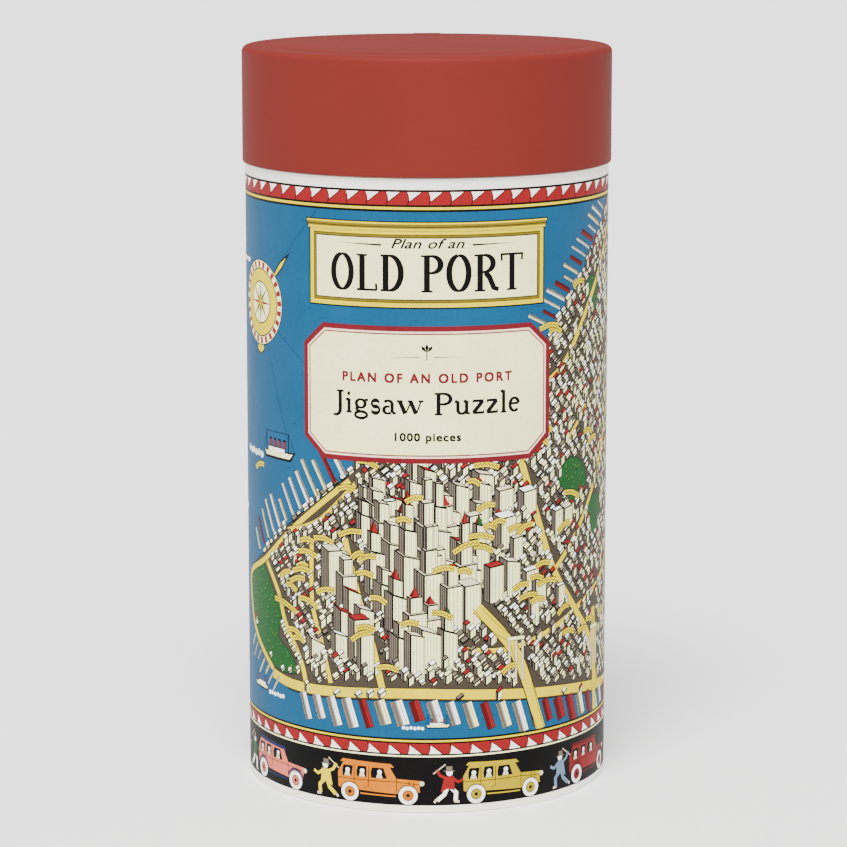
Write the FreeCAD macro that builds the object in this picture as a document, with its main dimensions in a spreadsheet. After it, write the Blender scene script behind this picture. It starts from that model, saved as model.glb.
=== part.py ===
"""Telescoping paperboard tube holding a jigsaw puzzle, as a parametric FreeCAD document.

A map-wrapped tube carries a full-height neck. A paper-covered lid slides down over the neck and rests
on the tube's shoulder. Inside, a tied muslin bag holds the loose pieces, with a folded picture sheet
lying on it. Units are millimetres, +Z is up, and the origin is the centre of the tube's bottom face.
"""

import FreeCAD, Part
import math
import os
import random

import Sketcher

# Driving dimensions. Each becomes a cell of the spreadsheet.
DRIVING_DIMENSIONS = {
    "total_height": 268.0,
    "lid_height": 41.7,
    "shoulder_gap": 0.3,
    "body_radius": 66.0,
    "lid_radius": 67.0,
    "board_thickness": 1.5,
    "disc_thickness": 2.0,
    "paper_thickness": 0.2,
    "lining_thickness": 0.15,
    "neck_rise": 36.0,
    "neck_paper_thickness": 0.1,
    "lid_edge_radius": 2.2,
    "lid_turn_over": 9.0,
    "sleeve_clearance": 0.2,
    "bag_clearance": 1.0,
    "cloth_thickness": 0.5,
    "bag_corner_radius": 2.0,
    "bag_side_height": 173.6,
    "bag_dome_radius": 24.0,
    "bag_neck_radius": 8.0,
    "bag_neck_rise": 7.0,
    "bag_neck_length": 4.0,
    "bag_ruffle_radius": 12.0,
    "cord_radius": 1.2,
    "sheet_side": 84.0,
    "sheet_paper": 0.15,
    "sheet_panels": 6,
    "sheet_rest_height": 224.6,
    "picture_width": 711.0,
    "picture_height": 508.0,
    "piece_columns": 40,
    "piece_rows": 25,
    "piece_thickness": 1.9,
    "layer_pitch": 2.02,
    "knob_radius": 2.5,
    "knob_neck": 1.7,
    "knob_wander": 0.5,
    "piece_nodes": 20,
    "inner_ring_radius": 17.3,
    "inner_ring_count": 3,
    "outer_ring_radius": 45.4,
    "outer_ring_count": 9,
}


class Size:
    """A length that knows both its value and the spreadsheet expression that gives it."""

    def __init__(self, value, text):
        self.value = value
        self.text = text

    def __add__(self, other):
        return Size(self.value + value_of(other), f"({self.text} + {text_of(other)})")

    def __sub__(self, other):
        return Size(self.value - value_of(other), f"({self.text} - {text_of(other)})")

    def __mul__(self, other):
        return Size(self.value * value_of(other), f"({self.text} * {text_of(other)})")

    def __truediv__(self, other):
        return Size(self.value / value_of(other), f"({self.text} / {text_of(other)})")


def value_of(length):
    return length.value if isinstance(length, Size) else length


def text_of(length):
    return length.text if isinstance(length, Size) else str(length)


ZERO = Size(0.0, "0")


def fill_sheet(doc):
    """Write the driving dimensions into a spreadsheet and return them as bound sizes."""
    sheet = doc.addObject("Spreadsheet::Sheet", "dims")
    bound = {}
    for row, (alias, value) in enumerate(DRIVING_DIMENSIONS.items(), start=1):
        sheet.set(f"A{row}", alias)
        sheet.set(f"B{row}", str(value))
        sheet.setAlias(f"B{row}", alias)
        bound[alias] = Size(value, f"dims.{alias}")
    doc.recompute()
    return bound


def origin_plane(body, role):
    """The body's own origin plane of that role."""
    for feature in body.Origin.OriginFeatures:
        if feature.Role == role:
            return feature
    raise ValueError(f"{body.Label} has no {role}")


def new_body(doc, label, rest_height):
    """A labelled body whose own origin stands at that height on the tube's axis."""
    body = doc.addObject("PartDesign::Body", label)
    body.Label = label
    body.setExpression("Placement.Base.z", rest_height.text)
    return body


def attached_sketch(body, name, role):
    sketch = body.newObject("Sketcher::SketchObject", name)
    sketch.AttachmentSupport = [(origin_plane(body, role), "")]
    sketch.MapMode = "FlatFace"
    return sketch


def add_circle(sketch, name, radius):
    """A circle about the sketch's origin whose radius follows the sheet."""
    normal = FreeCAD.Vector(0, 0, 1)
    index = sketch.addGeometry(Part.Circle(FreeCAD.Vector(0, 0, 0), normal, radius.value))
    sketch.addConstraint(Sketcher.Constraint("Coincident", index, 3, -1, 1))
    constraint = sketch.addConstraint(Sketcher.Constraint("Radius", index, radius.value))
    sketch.renameConstraint(constraint, name)
    sketch.setExpression(f"Constraints.{name}", radius.text)


def round_body(doc, label, rest_height, height, outer, inner=None):
    """A disc, or a tube if it has an inner radius, padded upwards from its rest height."""
    body = new_body(doc, label, rest_height)
    sketch = attached_sketch(body, f"{label}_section", "XY_Plane")
    add_circle(sketch, "outer", outer)
    if inner is not None:
        add_circle(sketch, "inner", inner)
    pad = body.newObject("PartDesign::Pad", f"{label}_pad")
    pad.Profile = sketch
    pad.setExpression("Length", height.text)
    return body


def bulged_arc(start, end, radius):
    """The short arc between two points, bulging to the right of the way from start to end if radius > 0."""
    chord = end - start
    sagitta = abs(radius) - math.sqrt(radius * radius - (chord.Length / 2) ** 2)
    right = FreeCAD.Vector(chord.y, -chord.x, 0).normalize()
    top = (start + end) / 2 + right * math.copysign(sagitta, radius)
    return Part.Arc(start, top, end)


def add_outline(sketch, corners):
    """Close an outline through corners of (x, y) or (x, y, radius of the arc that leaves the corner).

    Every corner's place and every arc's radius follows the sheet.
    """
    points = [FreeCAD.Vector(corner[0].value, corner[1].value, 0) for corner in corners]
    ends = []
    for number, corner in enumerate(corners):
        start = points[number]
        end = points[(number + 1) % len(points)]
        if len(corner) == 2:
            index = sketch.addGeometry(Part.LineSegment(start, end))
            ends.append((index, 1, 2))
            continue
        index = sketch.addGeometry(bulged_arc(start, end, corner[2].value))
        runs_forwards = (sketch.getPoint(index, 1) - start).Length < 1e-6
        ends.append((index, 1, 2) if runs_forwards else (index, 2, 1))
        radius_name = f"radius_{number}"
        size = Size(abs(corner[2].value), f"abs({corner[2].text})")
        constraint = sketch.addConstraint(Sketcher.Constraint("Radius", index, size.value))
        sketch.renameConstraint(constraint, radius_name)
        sketch.setExpression(f"Constraints.{radius_name}", size.text)
    for number, corner in enumerate(corners):
        index, start_end, far_end = ends[number]
        following = ends[(number + 1) % len(ends)]
        sketch.addConstraint(Sketcher.Constraint("Coincident", index, far_end, following[0], following[1]))
        for kind, name, length in (("DistanceX", "x", corner[0]), ("DistanceY", "y", corner[1])):
            place = Sketcher.Constraint(kind, -1, 1, index, start_end, length.value)
            constraint = sketch.addConstraint(place)
            sketch.renameConstraint(constraint, f"{name}_{number}")
            sketch.setExpression(f"Constraints.{name}_{number}", length.text)


def turned_body(doc, label, rest_height, corners):
    """A body turned about the tube's axis from an outline of (radius, height) corners."""
    body = new_body(doc, label, rest_height)
    sketch = attached_sketch(body, f"{label}_outline", "XZ_Plane")
    add_outline(sketch, corners)
    turn = body.newObject("PartDesign::Revolution", f"{label}_turn")
    turn.Profile = sketch
    turn.ReferenceAxis = (sketch, ["V_Axis"])
    turn.Angle = 360
    return body


def make_tube(doc, dim):
    """The lower half: board tube, printed wrap, base, neck and inner papers."""
    shoulder = dim["total_height"] - dim["lid_height"] - dim["shoulder_gap"]
    body_board = dim["body_radius"] - dim["paper_thickness"]
    neck_board = body_board - dim["board_thickness"]
    neck_inside = neck_board - dim["board_thickness"]
    base_top = dim["paper_thickness"] + dim["disc_thickness"]
    neck_height = shoulder + dim["neck_rise"] - base_top
    floor_top = base_top + dim["lining_thickness"]
    neck_paper = neck_board + dim["neck_paper_thickness"]
    return [
        round_body(doc, "body_tube", ZERO, shoulder, body_board, neck_board),
        round_body(doc, "map_wrap", ZERO, shoulder, dim["body_radius"], body_board),
        round_body(doc, "base_cover_paper", ZERO, dim["paper_thickness"], neck_board),
        round_body(doc, "base_disc", dim["paper_thickness"], dim["disc_thickness"], neck_board),
        round_body(doc, "neck_tube", base_top, neck_height, neck_board, neck_inside),
        round_body(doc, "neck_cover_paper", shoulder, dim["neck_rise"], neck_paper, neck_board),
        round_body(doc, "floor_lining", base_top, floor_top - base_top, neck_inside),
    ]


def make_lid(doc, dim):
    """The upper half: a board sleeve closed by a disc, covered in coloured paper and lined."""
    sleeve_foot = dim["total_height"] - dim["lid_height"]
    sleeve_outer = dim["lid_radius"] - dim["paper_thickness"]
    sleeve_inner = sleeve_outer - dim["board_thickness"] - dim["sleeve_clearance"]
    sleeve_height = dim["lid_height"] - dim["paper_thickness"]
    ceiling = sleeve_height - dim["disc_thickness"]
    edge = dim["lid_edge_radius"]
    board_edge = edge - dim["paper_thickness"]
    lining_height = ceiling - dim["lining_thickness"]
    sleeve = turned_body(doc, "lid_sleeve", sleeve_foot, [
        (sleeve_inner, ZERO),
        (sleeve_outer, ZERO),
        (sleeve_outer, sleeve_height - board_edge, board_edge),
        (sleeve_outer - board_edge, sleeve_height),
        (sleeve_inner - board_edge, sleeve_height),
        (sleeve_inner - board_edge, ceiling),
        (sleeve_inner, ceiling),
    ])
    disc_radius = sleeve_inner - board_edge
    disc = round_body(doc, "lid_top_disc", sleeve_foot + ceiling, dim["disc_thickness"], disc_radius)
    cover = turned_body(doc, "lid_side_paper", sleeve_foot, [
        (sleeve_outer, ZERO),
        (dim["lid_radius"], ZERO),
        (dim["lid_radius"], sleeve_height - board_edge, edge),
        (sleeve_outer - board_edge, dim["lid_height"]),
        (sleeve_outer - dim["lid_turn_over"], dim["lid_height"]),
        (sleeve_outer - dim["lid_turn_over"], sleeve_height),
        (sleeve_outer - board_edge, sleeve_height, board_edge * -1),
        (sleeve_outer, sleeve_height - board_edge),
    ])
    top_paper_radius = sleeve_outer - dim["lid_turn_over"]
    paper_foot = dim["total_height"] - dim["paper_thickness"]
    top_paper = round_body(doc, "lid_top_paper", paper_foot, dim["paper_thickness"], top_paper_radius)
    lining_inner = sleeve_inner - dim["lining_thickness"]
    side_lining = round_body(doc, "lid_side_lining", sleeve_foot, lining_height, sleeve_inner, lining_inner)
    ceiling_foot = sleeve_foot + lining_height
    top_lining = round_body(doc, "lid_top_lining", ceiling_foot, dim["lining_thickness"], sleeve_inner)
    return [sleeve, disc, cover, top_paper, side_lining, top_lining]


def bag_sizes(dim):
    """Radius, foot and heights that the bag, its tie and the pieces in it share."""
    neck_inside = dim["body_radius"] - dim["paper_thickness"] - dim["board_thickness"] * 2
    floor_top = dim["paper_thickness"] + dim["disc_thickness"] + dim["lining_thickness"]
    return {
        "radius": neck_inside - dim["bag_clearance"],
        "foot": floor_top + dim["sleeve_clearance"],
        "neck_foot": dim["bag_side_height"] + dim["bag_dome_radius"] + dim["bag_neck_rise"],
    }


def make_bag(doc, dim):
    """Muslin bag: a cloth skin about the pieces, gathered at its neck and open as a ruffle above."""
    bag = bag_sizes(dim)
    cloth = dim["cloth_thickness"]
    corner = dim["bag_corner_radius"]
    dome = dim["bag_dome_radius"]
    radius = bag["radius"]
    side = dim["bag_side_height"]
    neck = dim["bag_neck_radius"]
    neck_foot = bag["neck_foot"]
    neck_top = neck_foot + dim["bag_neck_length"]
    ruffle = dim["bag_ruffle_radius"]
    skin = turned_body(doc, "muslin_bag", bag["foot"], [
        (ZERO, ZERO),
        (radius - corner, ZERO, corner),
        (radius, corner),
        (radius, side, dome),
        (radius - dome, side + dome),
        (neck, neck_foot),
        (neck, neck_top, ruffle * -1),
        (neck + ruffle, neck_top + ruffle),
        (neck + ruffle - cloth, neck_top + ruffle, ruffle + cloth),
        (neck - cloth, neck_top),
        (ZERO, neck_top),
        (ZERO, neck_foot - cloth),
        (neck - cloth, neck_foot - cloth),
        (radius - dome, side + dome - cloth, (dome - cloth) * -1),
        (radius - cloth, side),
        (radius - cloth, corner, (corner - cloth) * -1),
        (radius - corner, cloth),
        (ZERO, cloth),
    ])
    tie = doc.addObject("Part::Torus", "bag_tie_cord")
    tie.Label = "bag_tie_cord"
    tie_clearance = 0.05
    tie.setExpression("Radius1", (neck + dim["cord_radius"] + tie_clearance).text)
    tie.setExpression("Radius2", dim["cord_radius"].text)
    tie.setExpression("Placement.Base.z", (bag["foot"] + neck_foot + dim["bag_neck_length"] / 2).text)
    return [skin, tie]


def folded_outline(half, paper, panels):
    """Outline of one length of paper folded to and fro, with its folds at +half and -half in turn."""
    near = ZERO - half
    rising = [(near, ZERO)]
    falling = [(near, paper)]
    for pair in range(panels // 2):
        first = paper * (4 * pair)
        rising += [(half, first), (half, first + paper * 3)]
        falling += [(half - paper, first + paper), (half - paper, first + paper * 2)]
        if pair < panels // 2 - 1:
            rising += [(near + paper, first + paper * 3), (near + paper, first + paper * 4)]
            falling += [(near, first + paper * 2), (near, first + paper * 5)]
    top = paper * (2 * panels)
    return rising + [(near, top - paper), (near, top - paper * 2)] + falling[::-1]


def make_picture_sheet(doc, dim):
    """The picture sheet, folded into a flat square packet that lies on the bag."""
    body = new_body(doc, "picture_sheet", dim["sheet_rest_height"])
    sketch = attached_sketch(body, "picture_sheet_folds", "XZ_Plane")
    panels = int(dim["sheet_panels"].value)
    add_outline(sketch, folded_outline(dim["sheet_side"] / 2, dim["sheet_paper"], panels))
    pad = body.newObject("PartDesign::Pad", "picture_sheet_pad")
    pad.Profile = sketch
    pad.Midplane = True
    pad.setExpression("Length", dim["sheet_side"].text)
    return body


def knobbed_edge(start, end, knob, dim):
    """One cut edge of a piece: straight, or with a round knob standing to the right (+1) or left (-1)."""
    if knob is None:
        return [Part.LineSegment(start, end)]
    side, wander = knob
    along = (end - start).normalize()
    right = FreeCAD.Vector(along.y, -along.x, 0)
    radius = dim["knob_radius"].value
    neck = dim["knob_neck"].value
    reach = math.sqrt(radius * radius - neck * neck) + radius
    middle = (start + end) / 2 + along * wander
    neck_start = middle - along * neck
    neck_end = middle + along * neck
    tip = middle + right * (side * reach)
    return [
        Part.LineSegment(start, neck_start),
        Part.Arc(neck_start, tip, neck_end),
        Part.LineSegment(neck_end, end),
    ]


def cut_puzzle(dim):
    """Cut the picture into pieces and return their outlines, each centred on its own middle.

    Two neighbours share each cut, so what is a knob on one is the matching socket on the other.
    """
    columns = int(dim["piece_columns"].value)
    rows = int(dim["piece_rows"].value)
    width = dim["picture_width"].value / columns
    depth = dim["picture_height"].value / rows
    chance = random.Random(1)
    wander = dim["knob_wander"].value
    upright = {}
    level = {}
    for column in range(columns + 1):
        for row in range(rows + 1):
            upright[column, row] = (chance.choice((-1, 1)), chance.uniform(-wander, wander))
            level[column, row] = (chance.choice((-1, 1)), chance.uniform(-wander, wander))
    west, east = -width / 2, width / 2
    south, north = -depth / 2, depth / 2
    corners = [FreeCAD.Vector(x, y, 0) for x, y in ((west, south), (east, south), (east, north), (west, north))]
    outlines = []
    for column in range(columns):
        for row in range(rows):
            below = None if row == 0 else level[column, row]
            above = None if row == rows - 1 else turned_about(level[column, row + 1])
            left = None if column == 0 else turned_about(upright[column, row])
            right = None if column == columns - 1 else upright[column + 1, row]
            edges = []
            for number, knob in enumerate((below, right, above, left)):
                edges += knobbed_edge(corners[number], corners[(number + 1) % 4], knob, dim)
            outlines.append(Part.Wire([edge.toShape() for edge in edges]))
    chance.shuffle(outlines)
    return outlines


def turned_about(knob):
    """The same knob seen from the neighbour, whose edge runs the other way."""
    return (-knob[0], -knob[1])


def layer_places(dim):
    """Places of the pieces in one layer of the bag: a few about the axis and a ring outside them."""
    outer_count = int(dim["outer_ring_count"].value)
    inner_count = int(dim["inner_ring_count"].value)
    between_outer = math.pi / outer_count
    inner = [
        (dim["inner_ring_radius"].value, between_outer + math.tau * number / inner_count)
        for number in range(inner_count)
    ]
    outer = [
        (dim["outer_ring_radius"].value, math.tau * number / outer_count)
        for number in range(outer_count)
    ]
    return inner + outer


def make_puzzle_pieces(doc, dim):
    """The loose pieces, lying flat in the bag in turned layers, shared between nodes from the bottom up."""
    bag = bag_sizes(dim)
    outlines = cut_puzzle(dim)
    places = layer_places(dim)
    lowest = bag["foot"].value + dim["cloth_thickness"].value + dim["layer_pitch"].value / 10
    thickness = FreeCAD.Vector(0, 0, dim["piece_thickness"].value)
    chance = random.Random(2)
    solids = []
    for number, outline in enumerate(outlines):
        layer, slot = divmod(number, len(places))
        radius, angle = places[slot]
        angle += layer * math.tau / math.e
        height = lowest + layer * dim["layer_pitch"].value
        solid = Part.Face(outline).extrude(thickness)
        where = FreeCAD.Vector(radius * math.cos(angle), radius * math.sin(angle), height)
        turn = FreeCAD.Rotation(FreeCAD.Vector(0, 0, 1), chance.uniform(0, 360))
        solid.Placement = FreeCAD.Placement(where, turn)
        solids.append(solid)
    groups = []
    count = int(dim["piece_nodes"].value)
    share = len(solids) // count
    for number in range(count):
        label = f"puzzle_pieces_{number + 1:02d}"
        group = doc.addObject("Part::Feature", label)
        group.Label = label
        group.Shape = Part.makeCompound(solids[number * share:(number + 1) * share])
        groups.append(group)
    return groups


def check_and_export(doc, subparts):
    """Stop on any failed object or broken shape, then write one STEP file for each sub-part."""
    for item in doc.Objects:
        if {"Invalid", "Error"} & set(item.State):
            raise RuntimeError(f"{item.Label} failed: {item.State}")
    for subpart in subparts:
        if subpart.Shape.isNull() or not subpart.Shape.isValid():
            raise RuntimeError(f"{subpart.Label} has no valid shape")
    os.makedirs("parts", exist_ok=True)
    for subpart in subparts:
        subpart.Shape.exportStep(f"parts/{subpart.Label}.step")
        print(subpart.Label, len(subpart.Shape.Solids), round(subpart.Shape.Volume, 1))


doc = FreeCAD.newDocument("puzzle_tube")
dim = fill_sheet(doc)
subparts = make_tube(doc, dim) + make_lid(doc, dim) + make_bag(doc, dim)
subparts.append(make_picture_sheet(doc, dim))
subparts += make_puzzle_pieces(doc, dim)
doc.recompute()
check_and_export(doc, subparts)
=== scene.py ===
"""Puzzle tube: the printed wrap, papers, boards, cloth bag, folded sheet and loose pieces.

The wrap's print is built as thin plates of ink, one for each colour. Their shapes are laid out flat, in
millimetres along the tube's girth (u, from the front, to the right) and up it (v, from its foot), and are
then bent round the tube.
"""

import math
import random
from collections import defaultdict

import bpy
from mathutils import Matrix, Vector, noise
from mathutils.geometry import tessellate_polygon


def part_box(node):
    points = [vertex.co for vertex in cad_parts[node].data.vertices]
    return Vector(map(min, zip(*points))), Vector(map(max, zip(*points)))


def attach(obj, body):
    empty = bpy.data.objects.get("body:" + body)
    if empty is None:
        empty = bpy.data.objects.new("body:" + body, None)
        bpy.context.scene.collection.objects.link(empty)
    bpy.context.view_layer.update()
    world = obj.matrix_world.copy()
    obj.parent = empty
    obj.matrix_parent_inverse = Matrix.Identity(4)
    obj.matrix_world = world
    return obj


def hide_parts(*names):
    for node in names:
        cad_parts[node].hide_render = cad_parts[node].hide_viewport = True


bl_info = {
    "name": "Puzzle tube",
    "version": (1, 0, 0),
    "blender": (4, 5, 0),
    "location": "View3D > Sidebar > Puzzle tube",
    "description": "Builds the looks of a jigsaw puzzle in a paperboard tube on its packed frame",
    "category": "Object",
}

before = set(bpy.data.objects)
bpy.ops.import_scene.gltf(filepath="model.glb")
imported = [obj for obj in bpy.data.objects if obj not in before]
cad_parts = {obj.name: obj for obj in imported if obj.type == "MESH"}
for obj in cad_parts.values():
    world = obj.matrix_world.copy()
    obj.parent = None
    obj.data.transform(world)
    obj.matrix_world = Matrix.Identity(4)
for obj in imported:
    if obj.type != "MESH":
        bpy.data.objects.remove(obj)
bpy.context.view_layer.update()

MM = 0.001
SLIVER = 1e-6  # the least area in square millimetres that is worth printing
PRINT_FOOT, FRIEZE_TOP, SEA_FOOT, SEA_TOP, PRINT_TOP = 2.6, 20.3, 27.2, 214.5, 222.2
WHEEL_HEIGHT = 6.2  # of the hubs on the frieze's cars
TITLE_HALF, TITLE_FOOT, TITLE_TOP, CORNICE_HALF = 44.2, 180.8, 208.6, 45.8
LABEL_HALF, LABEL_FOOT, LABEL_TOP, LABEL_CORNER = 47.0, 126.2, 174.6, (8.5, 7.6)
LOWEST_LEVEL, MAP_LEVEL, PANEL_LEVEL = 0, 1, 9
WRAP_RADIUS = max(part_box("map_wrap")[1].xy)
GIRTH = math.tau * WRAP_RADIUS / MM
PUZZLE_NODES = sorted(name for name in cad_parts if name.startswith("puzzle_pieces"))


def linear(red, green, blue):
    """A colour given in the usual 0 to 255 steps as the linear values that shaders take."""
    def channel(step):
        share = step / 255
        return share / 12.92 if share <= 0.04045 else ((share + 0.055) / 1.055) ** 2.4
    return channel(red), channel(green), channel(blue)


# ---------------------------------------------------------------- flat geometry


def turned(width, angle):
    """A step of that width along a direction in degrees."""
    return width * math.cos(math.radians(angle)), width * math.sin(math.radians(angle))


def moved(p, *steps):
    """The point that steps lead to from p."""
    return p[0] + sum(step[0] for step in steps), p[1] + sum(step[1] for step in steps)


def between(a, b, share):
    """The point that lies a share of the way from a to b."""
    return a[0] + (b[0] - a[0]) * share, a[1] + (b[1] - a[1]) * share


def line_side(a, b, p):
    """Above 0 where p lies to the left of the line from a to b."""
    return (b[0] - a[0]) * (p[1] - a[1]) - (b[1] - a[1]) * (p[0] - a[0])


def signed_area(points):
    """A shape's area, below 0 where its corners run clockwise."""
    pairs = zip(points, points[1:] + points[:1])
    return sum(a[0] * b[1] - b[0] * a[1] for a, b in pairs) / 2


def facing(points):
    """The same corners in counter-clockwise order."""
    return points if signed_area(points) > 0 else points[::-1]


def cut(points, a, b, left=True):
    """The part of a convex shape on one side of the line from a to b."""
    kept = []
    sides = [line_side(a, b, p) * (1 if left else -1) for p in points]
    for number, p in enumerate(points):
        following = (number + 1) % len(points)
        here, there = sides[number], sides[following]
        if here >= 0:
            kept.append(p)
        if here * there < 0:
            share = here / (here - there)
            q = points[following]
            kept.append((p[0] + (q[0] - p[0]) * share, p[1] + (q[1] - p[1]) * share))
    return kept if len(kept) > 2 else []


def subtract(points, mask):
    """What a convex mask leaves of a convex shape, as convex shapes."""
    edges = list(zip(mask, mask[1:] + mask[:1]))
    for a, b in edges:
        if all(line_side(a, b, p) <= 1e-9 for p in points):
            return [points]
    left_over = []
    rest = points
    for a, b in edges:
        outside = cut(rest, a, b, left=False)
        if outside and abs(signed_area(outside)) > 1e-4:
            left_over.append(outside)
        rest = cut(rest, a, b)
        if not rest:
            break
    return left_over


def inset(points, distance):
    """A convex shape, counter-clockwise, with every edge moved inwards."""
    shape = points
    for a, b in zip(points, points[1:] + points[:1]):
        run = math.dist(a, b)
        if run < 1e-6:
            continue
        shift = (-(b[1] - a[1]) / run * distance, (b[0] - a[0]) / run * distance)
        shape = cut(shape, moved(a, shift), moved(b, shift))
        if not shape:
            return []
    return shape


def triangles(points):
    """A shape of any outline as counter-clockwise triangles."""
    corners = [Vector((p[0], p[1], 0)) for p in points]
    found = []
    for trio in tessellate_polygon([corners]):
        triangle = [points[number] for number in trio]
        if abs(signed_area(triangle)) > SLIVER:
            found.append(facing(triangle))
    return found


def ring_points(u, v, radius, count=20, start=0.0):
    """Corners of a round or regular shape."""
    angles = [start + math.tau * number / count for number in range(count)]
    return [(u + radius * math.cos(angle), v + radius * math.sin(angle)) for angle in angles]


def bow(u, v, half_width, half_height, start, end, steps=14):
    """Points along part of an ellipse, with its angles in degrees."""
    angles = [math.radians(start + (end - start) * step / steps) for step in range(steps + 1)]
    return [(u + half_width * math.cos(angle), v + half_height * math.sin(angle)) for angle in angles]


def stroke(points, width, thin=None, closed=False):
    """Four-sided shapes along a line. With a thin width, it is a broad pen: thin where the line is level."""
    thin = width if thin is None else thin
    count = len(points)
    sides = []
    for number, p in enumerate(points):
        before = points[number - 1] if number or closed else p
        after = points[(number + 1) % count] if number < count - 1 or closed else p
        along = (after[0] - before[0], after[1] - before[1])
        run = math.hypot(*along) or 1.0
        half = (thin + (width - thin) * abs(along[1]) / run) / 2
        normal = (-along[1] / run * half, along[0] / run * half)
        sides.append(((p[0] + normal[0], p[1] + normal[1]), (p[0] - normal[0], p[1] - normal[1])))
    quads = []
    for number in range(count if closed else count - 1):
        (left_a, right_a), (left_b, right_b) = sides[number], sides[(number + 1) % count]
        quad = [right_a, right_b, left_b, left_a]
        if signed_area(quad) > SLIVER:
            quads.append(quad)
    return quads


def inside(outline, p):
    """True where p lies inside an outline."""
    odd = False
    for a, b in zip(outline, outline[1:] + outline[:1]):
        if (a[1] > p[1]) != (b[1] > p[1]):
            if p[0] < a[0] + (b[0] - a[0]) * (p[1] - a[1]) / (b[1] - a[1]):
                odd = not odd
    return odd


def distance_to_line(points, p):
    """The least distance from p to a line of points."""
    least = 1e9
    for a, b in zip(points, points[1:]):
        du, dv = b[0] - a[0], b[1] - a[1]
        share = ((p[0] - a[0]) * du + (p[1] - a[1]) * dv) / (du * du + dv * dv)
        share = min(1.0, max(0.0, share))
        least = min(least, math.hypot(a[0] + du * share - p[0], a[1] + dv * share - p[1]))
    return least


def smooth(points, closed=False, steps=5):
    """A line through its points with round turns, as a Catmull-Rom curve."""
    count = len(points)
    line = []
    for number in range(count if closed else count - 1):
        picked = [number - 1, number, number + 1, number + 2]
        if closed:
            a, b, c, d = (points[place % count] for place in picked)
        else:
            a, b, c, d = (points[min(count - 1, max(0, place))] for place in picked)
        for step in range(steps):
            s = step / steps
            line.append(tuple(
                b[axis] + 0.5 * s * (c[axis] - a[axis] + s * (
                    2 * a[axis] - 5 * b[axis] + 4 * c[axis] - d[axis]
                    + s * (3 * (b[axis] - c[axis]) + d[axis] - a[axis])))
                for axis in (0, 1)))
    return line if closed else line + [points[-1]]


class PrintedSheet:
    """Flat shapes of ink. A thing drawn later lies behind what was drawn before it on the same sheet."""

    CELL = 6.0

    def __init__(self, level):
        self.level = level
        self.shapes = defaultdict(list)
        self.masks = []
        self.grid = defaultdict(list)

    def cells(self, points):
        columns = [math.floor(p[0] / self.CELL) for p in points]
        rows = [math.floor(p[1] / self.CELL) for p in points]
        for column in range(min(columns), max(columns) + 1):
            for row in range(min(rows), max(rows) + 1):
                yield column, row

    def uncovered(self, points):
        """What shows of a convex shape beside the things drawn before."""
        near = sorted({number for cell in self.cells(points) for number in self.grid[cell]})
        pieces = [points]
        for number in near:
            pieces = [left for piece in pieces for left in subtract(piece, self.masks[number])]
        return pieces

    def draw(self, parts, outline):
        """Draw a thing from (ink, lift, convex shape) parts behind the rest.

        Its outline, in convex shapes, then hides what is drawn later.
        """
        for ink, lift, points in parts:
            if len(points) > 2:
                for piece in self.uncovered(points):
                    self.shapes[ink].append((self.level + lift, piece))
        for mask in outline:
            for cell in self.cells(mask):
                self.grid[cell].append(len(self.masks))
            self.masks.append(mask)

    def fill(self, ink, points, edge=0.0):
        """Draw a shape of any outline, with a black line along it if an edge width is given."""
        shape = triangles(points)
        parts = [(ink, 0, triangle) for triangle in shape]
        if edge:
            parts += [("black", 1, quad) for quad in stroke(facing(points), edge, closed=True)]
        self.draw(parts, shape)

    def plate(self, shape, ink, line):
        """Draw one convex shape with a black line round it."""
        self.draw([("black", 0, shape), (ink, 1, inset(shape, line))], [shape])

    def pen(self, ink, points, width, thin=None, closed=False):
        """Draw a line whose shapes hide one another where it crosses itself."""
        for quad in stroke(points, width, thin, closed):
            self.draw([(ink, 0, quad)], [quad])

    def road(self, points, width, ink="yellow", edge=0.22):
        """Draw a road with a black line along each side."""
        inner = stroke(points, width)
        outer = stroke(points, width + 2 * edge)
        parts = [("black", 0, quad) for quad in outer] + [(ink, 1, quad) for quad in inner]
        self.draw(parts, outer)


# ---------------------------------------------------------------- lettering


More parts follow.
